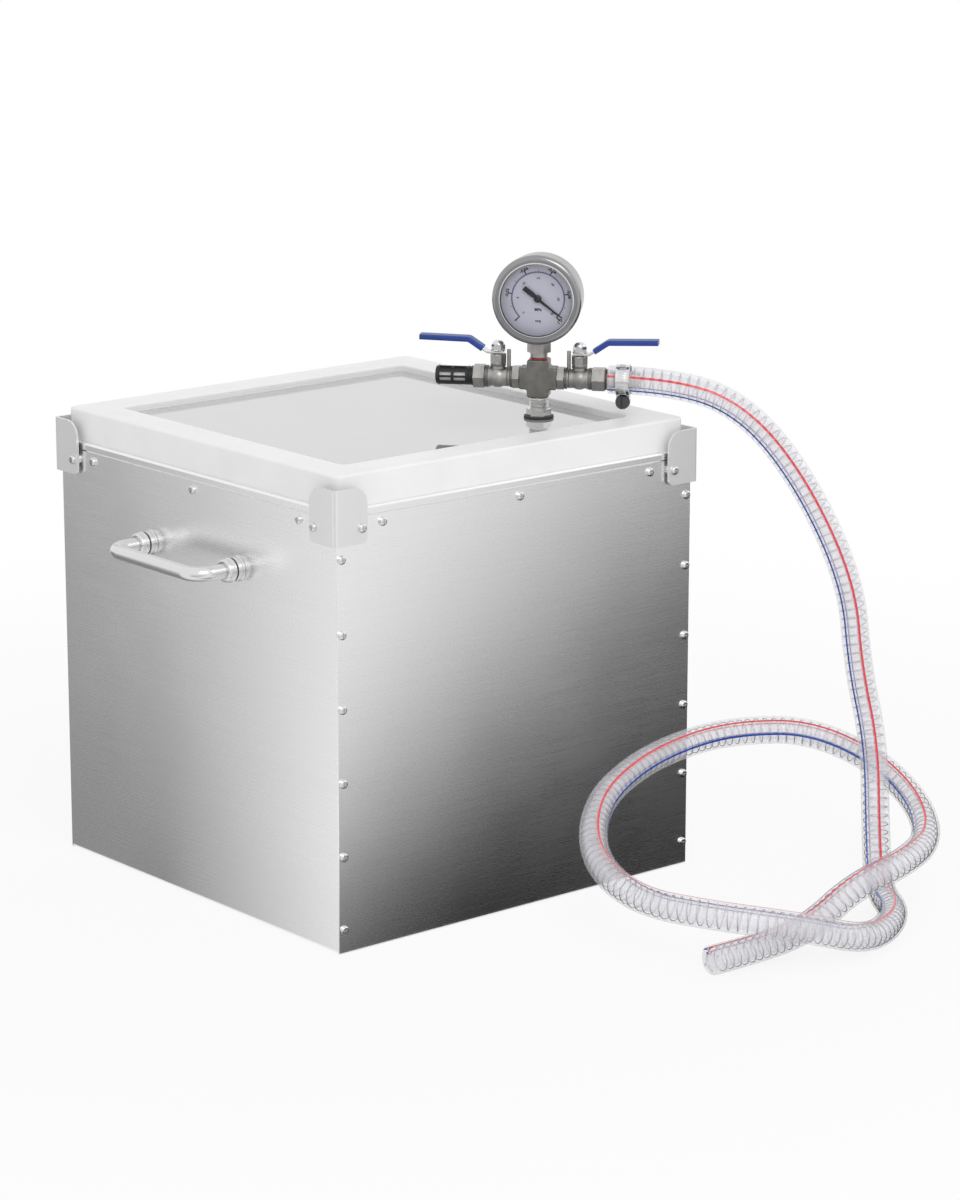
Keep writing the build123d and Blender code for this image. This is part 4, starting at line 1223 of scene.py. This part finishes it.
@dataclass
class Studio:
    """Camera, lamps, world, the pale floor and the cards by it."""

    azimuth: float = -40.0
    elevation: float = 14.03
    distance: float = 2.7
    aim_side: float = 0.0709
    aim_height: float = 0.1803
    lens: float = 119.7
    sensor: float = 36.0
    lamp_aim: tuple[float, float, float] = (0.0, 0.0, 0.15)
    ambient: float = 0.78
    floor_size: float = 24.0
    floor_tint: Colour = (0.86, 0.86, 0.86)
    glow: float = 0.84
    wall: float = 0.1512
    reach: float = 2.5

    def camera(self) -> None:
        """Stand the camera and make it the scene's."""
        turn, tilt = radians(self.azimuth), radians(self.elevation)
        back = Vector((sin(turn) * cos(tilt), -cos(turn) * cos(tilt), sin(tilt)))
        right = Vector((cos(turn), sin(turn), 0.0))
        data = bpy.data.cameras.new("camera")
        data.lens, data.sensor_width, data.clip_end = self.lens, self.sensor, 60.0
        camera = bpy.data.objects.new("camera", data)
        camera.location = right * self.aim_side + Vector((0, 0, self.aim_height)) + back * self.distance
        camera.rotation_euler = back.to_track_quat("Z", "Y").to_euler()
        bpy.context.scene.collection.objects.link(camera)
        bpy.context.scene.camera = camera

    def lamp(self, name: str, place: Sequence[float], power: float, size: float) -> None:
        """Hang one square soft lamp that faces the object.

        Args:
            name: the lamp's name.
            place: where it hangs.
            power: in watts.
            size: its side.
        """
        data = bpy.data.lights.new(name, "AREA")
        data.energy, data.size = power, size
        lamp = bpy.data.objects.new(name, data)
        lamp.location = place
        lamp.rotation_euler = (Vector(place) - Vector(self.lamp_aim)).to_track_quat("Z", "Y").to_euler()
        bpy.context.scene.collection.objects.link(lamp)

    def seen(self, shader: Shader) -> Signal:
        """Tell the rays that show the background: camera, glossy and transmission rays.

        Args:
            shader: the tree that asks.

        Returns:
            One for those rays, and nought for the rest.
        """
        path = shader.node("ShaderNodeLightPath", {}, {})
        outputs = path.socket.node.outputs
        names = ("Is Camera Ray", "Is Glossy Ray", "Is Transmission Ray")
        camera, glossy, transmission = (Signal(shader, outputs[name]) for name in names)
        return (camera + glossy + transmission).at_most(1.0)

    def world(self) -> None:
        """A white backdrop for eye, metal and glass, and a softer one that lights the object."""
        shader = Shader("studio", world=True)
        strength = self.ambient + self.seen(shader) * (1.0 - self.ambient)
        light = shader.node("ShaderNodeBackground", {}, {"Color": (1, 1, 1, 1), "Strength": strength})
        bpy.context.scene.world = shader.end(light, "ShaderNodeOutputWorld")

    def floor(self) -> None:
        """A pale floor that keeps the shadow near the object and runs out to white."""
        shape = bmesh.new()
        bmesh.ops.create_grid(shape, x_segments=1, y_segments=1, size=self.floor_size / 2)
        shader = Shader("pale_floor")
        here = shader.place()
        length = shader.node("ShaderNodeVectorMath", {"operation": "LENGTH"}, {0: here}, "Value")
        far = length.ramp(0.30, 1.10)
        white = shader.node("ShaderNodeEmission", {}, {"Color": (1, 1, 1, 1), "Strength": 1.0})
        matt = shader.node("ShaderNodeBsdfDiffuse", {}, {"Color": (*self.floor_tint, 1)})
        factor = self.seen(shader) * (self.glow + far * (1.0 - self.glow))
        mixed = shader.node("ShaderNodeMixShader", {}, {0: factor, 1: matt, 2: white})
        floor = laid("floor", shape, shader.end(mixed))

    def cards(self) -> list[Card]:
        """Set out the cards round the casing.

        Returns:
            One card for each side, their tones climbing away from the casing's foot and, on the two
            sides that the camera sees, towards the near corner.
        """
        wall, reach = self.wall, self.reach
        across, before_front, before_side = (0.766, 0.642), (0.642, -0.766), (-0.642, 0.766)
        front_climb = tuple(0.88 * b - 4.15 * a for a, b in zip(across, before_front))
        side_climb = tuple(0.42 * b - 5.0 * a for a, b in zip(across, before_side))
        front = ((-reach, -wall), (reach, -wall), (reach, -reach), (-reach, -reach))
        side = ((-wall, -wall), (-wall, reach), (-reach, reach), (-reach, -wall))
        right = ((wall, -wall), (reach, -wall), (reach, reach), (wall, reach))
        back = ((-wall, wall), (wall, wall), (wall, reach), (-wall, reach))
        return [
            Card("card_front", front, 0.02, front_climb, -0.56, 2.0),
            Card("card_side", side, 0.27, side_climb, -0.50, past=Past.Y),
            Card("card_right", right, 0.30, (0.50, 0.25), -0.05),
            Card("card_back", back, 0.30, (0.0, 0.50), -0.05),
        ]

    def build(self) -> None:
        """Set the whole studio up."""
        bpy.context.scene.view_settings.view_transform = "Standard"
        self.world()
        self.floor()
        self.lamp("key", (-0.9, -2.0, 1.9), 14.0, 1.3)
        self.lamp("fill", (1.9, -1.0, 1.2), 3.0, 1.2)
        for card in self.cards():
            card.build()
        log.info("studio set up")


def main() -> None:
    """Build the classes in order."""
    logging.basicConfig(level=logging.INFO, format="%(name)s %(message)s")
    studio = Studio()
    studio.camera()
    Hose().build()
    studio.build()
    Dresser.dress_all()
    rig = Rig()
    PipeWork(rig).build()
    Gauge(rig).build()
    Casing().build()


if __name__ == "__main__":
    main()
